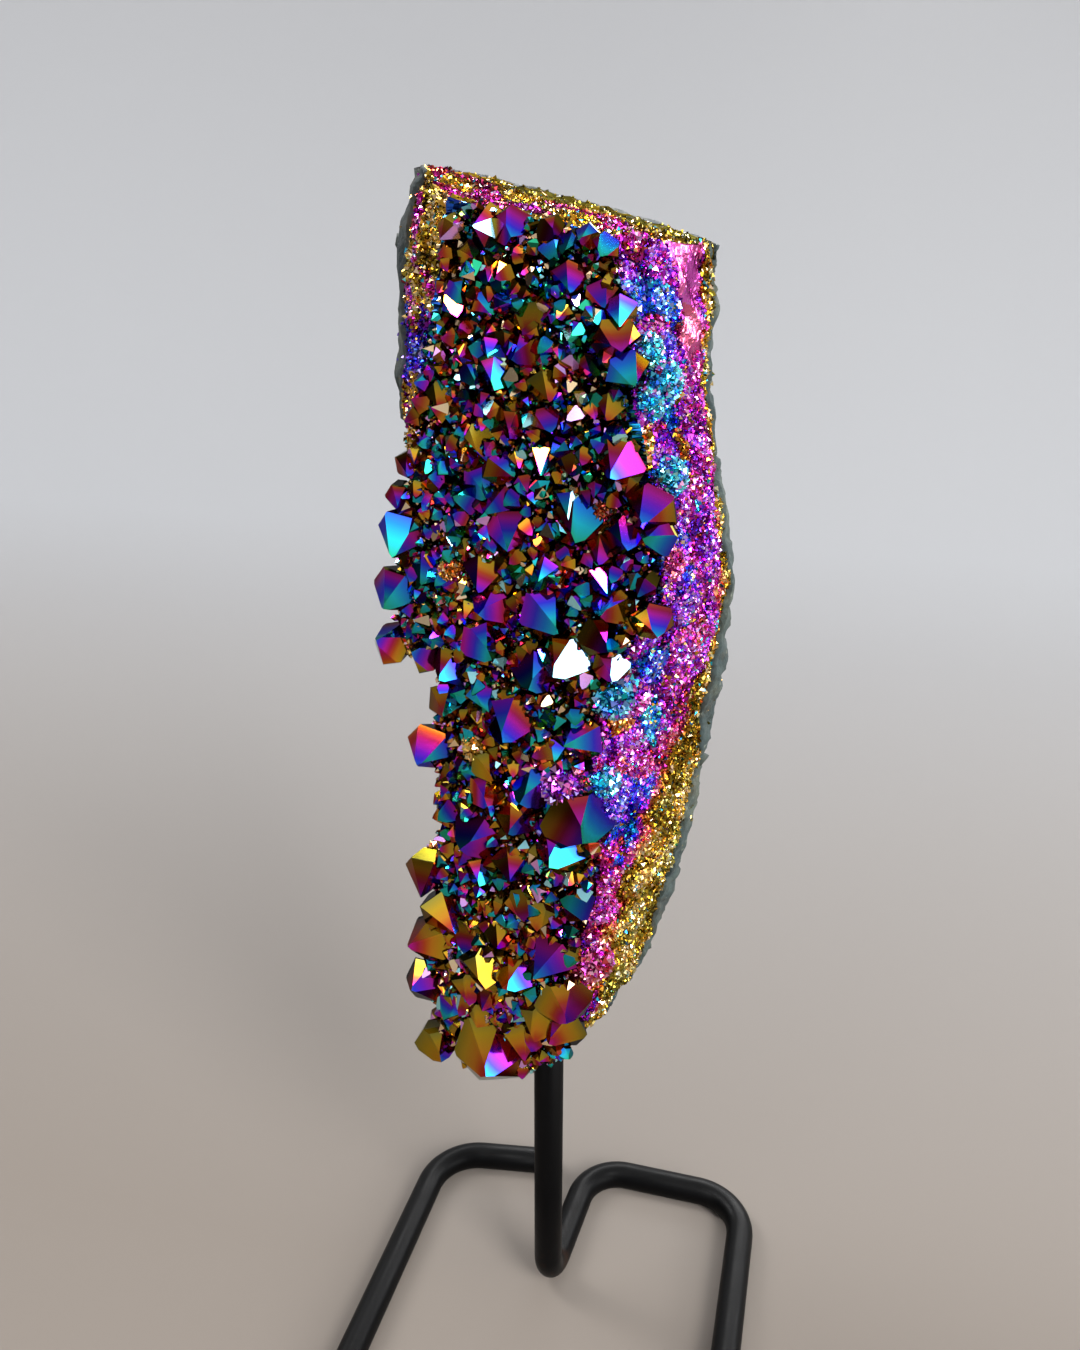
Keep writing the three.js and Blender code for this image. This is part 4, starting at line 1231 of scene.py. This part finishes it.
def point_film(count, shades, height, rise, faces, planes):
    """The film over quartz points, for each corner of each face.

    It grows from a face's rim to the tip, by an amount of the face's own and least on faces painted
    with a glint, and so is gold or red at the rim and blue at the tip. Its brightness is painted
    darker towards the bed, as shade in the gaps, and a face with a painted glint is nearly white. The
    biggest points, whose numbers are below 0, are the brightest.
    """
    per_point = len(planes)
    number = np.repeat(count, per_point)
    plane = np.tile(planes, len(count))
    middle = shades[np.repeat(np.arange(len(count)), per_point), plane]
    glint_faces = middle >= PAINTED_GLINT
    middle = middle - PAINTED_GLINT * glint_faces
    growth = mix(0.4, 0.95, chance(number + 0.61 * plane, 8))
    growth = growth * np.select([glint_faces, number < 0], [0.2, 0.85], 1)
    thickness = middle[:, None] + growth[:, None] * (rise.ravel()[faces] - 0.55)
    dimmest = np.where(number < 0, 0.42, 0.34)
    brightness = mix(dimmest, 0.7, chance(number + 0.43 * plane, 10))
    brightness = brightness * np.where(plane == PRISM_PLANE, 0.55, 1)
    # Painted shade: faces grow darker towards the bed, where the gaps between the points are.
    brightness = brightness[:, None] * mix(0.55, 1, ease(height.ravel()[faces], 0, 2.5))
    # A face with a painted glint is painted nearly white.
    brightness = np.where(glint_faces[:, None], PAINTED_GLINT_BRIGHTNESS, brightness)
    return film_map(thickness, brightness, 0.02, 0.02)


def quartz_points(name, material, grown, shades, length, depth):
    """A piece of quartz points, each flattened, turned and stood on its seat.

    grown holds their numbers, places, radii, leans and turns, and shades the film on each plane.
    """
    count, u, z, radius, lean_right, lean_up, twist = grown
    root, direction = seat(u, z, lean_right, lean_up)
    narrow = mix(*NARROWNESS, chance(count, 11))
    corners = point_corners(radius, length, narrow, np.full(len(count), depth))
    rise = corners[..., 2] / length[:, None]
    corners[..., 0] *= mix(*FLATTENING, chance(count, 1))[:, None]
    x, y, tall = np.moveaxis(corners, -1, 0)
    cos, sin = np.cos(twist)[:, None], np.sin(twist)[:, None]
    corners = np.stack([x * cos - y * sin, x * sin + y * cos, tall], axis=-1)
    points = stand_up(corners, direction, root)
    height = slab_place(points)[1] - slab_place(root)[1][:, None]
    triangles, planes = point_faces()
    faces = (triangles + CORNERS * np.arange(len(count))[:, None, None]).reshape(-1, 3)
    film = point_film(count, shades, height, rise, faces, planes)
    add_quartz(name, points.reshape(-1, 3), faces, material, film)


def large_points(material):
    """The biggest points and the larger of the spread ones, where the frame has them."""
    u, z, radius, lean_right, lean_up, degrees = KEY_POINTS[:, :6].T
    keys = (-1.0 - np.arange(len(u)), u, z, radius, lean_right, lean_up, np.radians(degrees))
    groups = (LARGE_POINTS, SMALL_POINTS)
    spread = [spread_points(group, KEY_POINTS[:, :3], GROWN_RADIUS) for group in groups]
    grown = [np.concatenate(parts) for parts in zip(keys, *spread)]
    shades = np.concatenate([key_film(), *map(spread_film, spread)])
    length = grown[3] * FIELD_POINT_LENGTH
    length[:len(u)] = radius * KEY_POINT_LENGTH
    quartz_points("large_quartz_points", material, grown, shades, length, ROOT_DEPTH)


def middle_points(material):
    """Points from one to two millimetres in radius between the larger ones."""
    grown = spread_points(MIDDLE_POINTS, OBSTACLES, YOUNG_RADIUS)
    length = grown[3] * MIDDLE_LENGTH + MIDDLE_EXTRA
    quartz_points("middle_quartz_points", material, grown, spread_film(grown), length, ROOT_DEPTH)


def fine_druse(material):
    """The druse in the gaps: points about half a millimetre in radius, some on larger ones' flanks."""
    grown = spread_points(DRUSE_POINTS, OBSTACLES, YOUNG_RADIUS)
    length = grown[3] * DRUSE_LENGTH + DRUSE_EXTRA * chance(grown[0], 12)
    quartz_points("fine_druse", material, grown, spread_film(grown), length, DRUSE_ROOT)


# ---- the rind ----------------------------------------------------------------------------------

RIND_RIGHT = [0.82, 0.84, 0.89, 0.93, 0.96]  # where it starts, as a share of the right side,
RIND_HEIGHTS = [66, 100, 140, 180, 222]  # at these heights
RIND_LEFT = 0.55  # where it ends, as a share of the left side from the back
RIND_COLUMNS = 120
RIND_ROWS = 270
RIND_PROUD = 0.45
RIND_DEPTH = 1.6  # of the shell's inner face below the slab's outline
PIT_SHARE = 0.2  # of the bubbles that left a pit
PIT_DEPTH = 0.5


def rind_relief(place):
    """How proud the rind is of the slab: swellings, three sizes of facets, and round pits.

    The largest facets only stand out, and none stands out more than twice the usual.
    """
    swelling, _ = swellings(place, 7.0, 51)
    broken, _ = facets(place, 11.0, 0.25, 111)
    coarse, _ = facets(place, 4.0, 0.3, 54)
    fine, _ = facets(place, 1.7, 0.45, 81)
    bubble, number = swellings(place, 2.8, 91)
    pit = ease(bubble, 0.8, 0.97) * (chance(number, 94) < PIT_SHARE)
    relief = RIND_PROUD + 0.3 * (swelling - 0.7) + 0.35 * np.maximum(broken, 0)
    relief = relief + 0.35 * coarse + 0.3 * fine - PIT_DEPTH * pit
    return np.minimum(relief, 2 * RIND_PROUD)


def green_rind(material):
    """The back crust: a shell a little proud of the slab, from the right side round to the left.

    Its outer face is the slab's outline moved out, broken and pitted; its inner face is the same
    outline moved in. Its side edges run in waves.
    """
    across = np.linspace(0, 1, RIND_COLUMNS + 1)
    across, rise = np.meshgrid(across, np.linspace(0, 1, RIND_ROWS + 1))
    level = mix(BED_FOOT, BED_HEAD, rise)
    start = RIGHT + np.interp(level, RIND_HEIGHTS, RIND_RIGHT)
    start = start + 0.02 * np.sin(0.21 * level) + 0.008 * np.sin(0.83 * level)
    end = LEFT + 1 - RIND_LEFT + 0.06 * np.sin(0.17 * level + 1) + 0.02 * np.sin(0.71 * level)
    travel = mix(start, end, across)
    side = np.floor(travel).astype(int)
    u, v = np.moveaxis(outline_place(side, travel - side, level), -1, 0)
    grid = np.stack([u, v, bent_height(u, v, rise)], axis=-1)
    outwards = unit(np.cross(np.gradient(grid, axis=0), np.gradient(grid, axis=1)))
    relief = rind_relief(grid.reshape(-1, 3)).reshape(*level.shape, 1)
    outer = grid + outwards * relief
    inner = grid - outwards * RIND_DEPTH
    points = np.concatenate([outer.reshape(-1, 3), inner.reshape(-1, 3)])
    faces = shell_faces(RIND_ROWS + 1, RIND_COLUMNS + 1)
    add_quartz("green_rind", slab_point(*points.T), faces, material, smooth=True)


def shell_faces(rows, columns):
    """Quads of two equal grids, the first facing out and the second in, joined along the edge."""
    row, column = np.meshgrid(np.arange(rows - 1), np.arange(columns - 1), indexing="ij")
    here = (row * columns + column).ravel()
    outer = np.stack([here, here + 1, here + columns + 1, here + columns], axis=-1)
    inner = outer[:, ::-1] + rows * columns
    rim = np.concatenate([
        np.arange(columns),
        np.arange(1, rows) * columns + columns - 1,
        (rows - 1) * columns + np.arange(columns - 2, -1, -1),
        np.arange(rows - 2, -1, -1) * columns,
    ])
    start, end = rim[:-1], rim[1:]
    edge = np.stack([end, start, start + rows * columns, end + rows * columns], axis=-1)
    return np.concatenate([outer, inner, edge])


# ---- stage, camera and light -------------------------------------------------------------------

IMAGE_HEIGHT = 1350  # in pixels; the width is 1080
FOCAL_PIXELS = 1081  # the focal length in such pixels
SENSOR = 36.0
CAMERA_PLACE = (0.04234, -0.16675, 0.215)  # in metres
CAMERA_DOWN = 21  # degrees below level
CAMERA_LEFT = 15.3  # degrees to the left of the frame's own y axis

# The floor and backdrop, in metres.
SWEEP_FRONT = -2.5
SWEEP_START = 0.45  # y at which the floor begins to turn up
SWEEP_RADIUS = 0.5
SWEEP_TOP = 2.5
SWEEP_HALF_WIDTH = 2.5


def stage_sweep():
    """A floor that turns up into a backdrop in one curve, wider than the view.

    The paper is warm and grey near the front, and cooler and paler behind.
    """
    turn = np.linspace(0, math.pi / 2, 24)
    curve_y = SWEEP_START + SWEEP_RADIUS * np.sin(turn)
    curve_z = SWEEP_RADIUS - SWEEP_RADIUS * np.cos(turn)
    y = np.concatenate([[SWEEP_FRONT], curve_y, [SWEEP_START + SWEEP_RADIUS]])
    z = np.concatenate([[0], curve_z, [SWEEP_TOP]])
    edges = [np.stack([0 * y + x, y, z], axis=-1) for x in (-SWEEP_HALF_WIDTH, SWEEP_HALF_WIDTH)]
    points = np.concatenate(edges)
    count = len(y)
    here = np.arange(count - 1)
    faces = np.stack([here, here + count, here + count + 1, here + 1], axis=-1)
    mesh = bpy.data.meshes.new("paper_sweep")
    mesh.from_pydata(points.tolist(), [], faces.tolist())
    mesh.polygons.foreach_set("use_smooth", np.full(len(faces), True))
    sweep = bpy.data.objects.new("paper_sweep", mesh)
    bpy.context.scene.collection.objects.link(sweep)
    material, tree, shader = new_material("seamless_paper")
    place = add_node(tree, "ShaderNodeTexCoord").outputs["Object"]
    parts = add_node(tree, "ShaderNodeSeparateXYZ", Vector=place)
    shares = add_node(tree, "ShaderNodeValToRGB", Fac=parts.outputs["Y"])
    set_ramp(shares, [(0.0, colour("#998e84")), (0.6, colour("#bfc0c3"))])
    tree.links.new(shares.outputs["Color"], shader.inputs["Base Color"])
    shader.inputs["Roughness"].default_value = 0.9
    mesh.materials.append(material)


# Places of small lamps that only glossy surfaces show, in metres.
SPARKLE_LAMPS = [
    (0.45, -0.45, 0.95),
    (-0.35, -0.65, 0.85),
    (0.1, 0.9, 0.62),
    (0.36, 0.85, 0.55),
    (-0.15, 0.8, 0.8),
    (-0.76, 0.34, 0.85),
    (-0.55, -0.12, 1.07),
]
BRIGHT_SIDE = (0.55, -0.15, 0.82)  # the direction in which the room is lightest
ROOM_STRENGTH = 0.72


SPARKLE_SIZE, SPARKLE_POWER = 0.15, 4


def add_light(name, place, target, width, height, power):
    """A rectangular white light of that size in metres and power in watts, turned to a target."""
    lamp = bpy.data.lights.new(name, "AREA")
    lamp.shape = "RECTANGLE"
    lamp.size, lamp.size_y = width, height
    lamp.energy = power
    light = bpy.data.objects.new(name, lamp)
    bpy.context.scene.collection.objects.link(light)
    light.location = place
    direction = np.array(target) - np.array(place)
    flat = math.hypot(direction[0], direction[1])
    tilt = math.pi / 2 + math.atan2(direction[2], flat)
    turn = math.atan2(direction[1], direction[0]) - math.pi / 2
    light.rotation_euler = (tilt, 0, turn)
    return light


def light_the_stage():
    """A soft window low on the right, a higher one, a faint light overhead, and a dim room.

    The high window lights the object but isn't mirrored in it. The two panels and the small lamps
    are only mirrored: they give the broad glints and the sparkle. The backdrop has its own light.
    """
    middle = (0, 0, 0.13)
    add_light("window", (0.93, -0.34, 0.34), middle, 1.1, 0.42, 6)
    high_window = add_light("high_window", (0.75, -0.65, 0.85), middle, 0.45, 0.45, 9)
    high_window.visible_glossy = False
    side_panel = add_light("side_panel", (0.78, 0.55, 0.5), middle, 0.45, 0.35, 5)
    side_panel.visible_diffuse = False
    left_panel = add_light("left_panel", (-0.42, -0.9, 0.3), middle, 0.6, 0.4, 1.1)
    left_panel.visible_diffuse = False
    add_light("ceiling", (0.1, 0.1, 1.4), middle, 0.6, 0.6, 1)
    add_light("backdrop_light", (-1.1, 0.2, 1.2), (-0.75, 0.8, 0.1), 1.2, 0.3, 9)
    for number, place in enumerate(SPARKLE_LAMPS):
        name = "sparkle_lamp_%d" % number
        lamp = add_light(name, place, middle, SPARKLE_SIZE, SPARKLE_SIZE, SPARKLE_POWER)
        lamp.visible_diffuse = False
    light_the_room()


def light_the_room():
    """A world that is lightest in one direction and dark in the opposite one."""
    world = bpy.data.worlds.new("room")
    bpy.context.scene.world = world
    world.use_nodes = True
    tree = world.node_tree
    sky = tree.nodes["Background"]
    towards = add_node(tree, "ShaderNodeTexCoord").outputs["Generated"]
    share = add_node(
        tree, "ShaderNodeVectorMath", {"operation": "DOT_PRODUCT"}, _0=towards, _1=BRIGHT_SIDE
    )
    room = add_node(tree, "ShaderNodeValToRGB", Fac=share.outputs["Value"])
    set_ramp(room, [(0.0, colour("#303236")), (0.9, colour("#f4f6f8"))])
    tree.links.new(room.outputs["Color"], sky.inputs["Color"])
    sky.inputs["Strength"].default_value = ROOM_STRENGTH


def photographer():
    """The camera: close, a little to the right and above, looking down at the cluster.

    The picture is taller than wide, so the sensor's length is its height.
    """
    lens = bpy.data.cameras.new("camera")
    lens.sensor_fit = "AUTO"
    lens.sensor_width = SENSOR
    lens.lens = FOCAL_PIXELS / IMAGE_HEIGHT * SENSOR
    lens.clip_start = 0.01
    camera = bpy.data.objects.new("camera", lens)
    bpy.context.scene.collection.objects.link(camera)
    camera.location = CAMERA_PLACE
    camera.rotation_euler = (math.radians(90 - CAMERA_DOWN), 0, math.radians(CAMERA_LEFT))
    bpy.context.scene.camera = camera
    bpy.context.scene.view_settings.view_transform = "Standard"


photographer()
stage_sweep()
light_the_stage()
bent_rod()
film_material = titanium_film_on_quartz()
skin = crust_skin()
coated_crust(skin, film_material)
sugar_grains(skin, film_material)
grain_lumps(film_material)
large_points(film_material)
middle_points(film_material)
fine_druse(film_material)
green_rind(celadonite_rind())
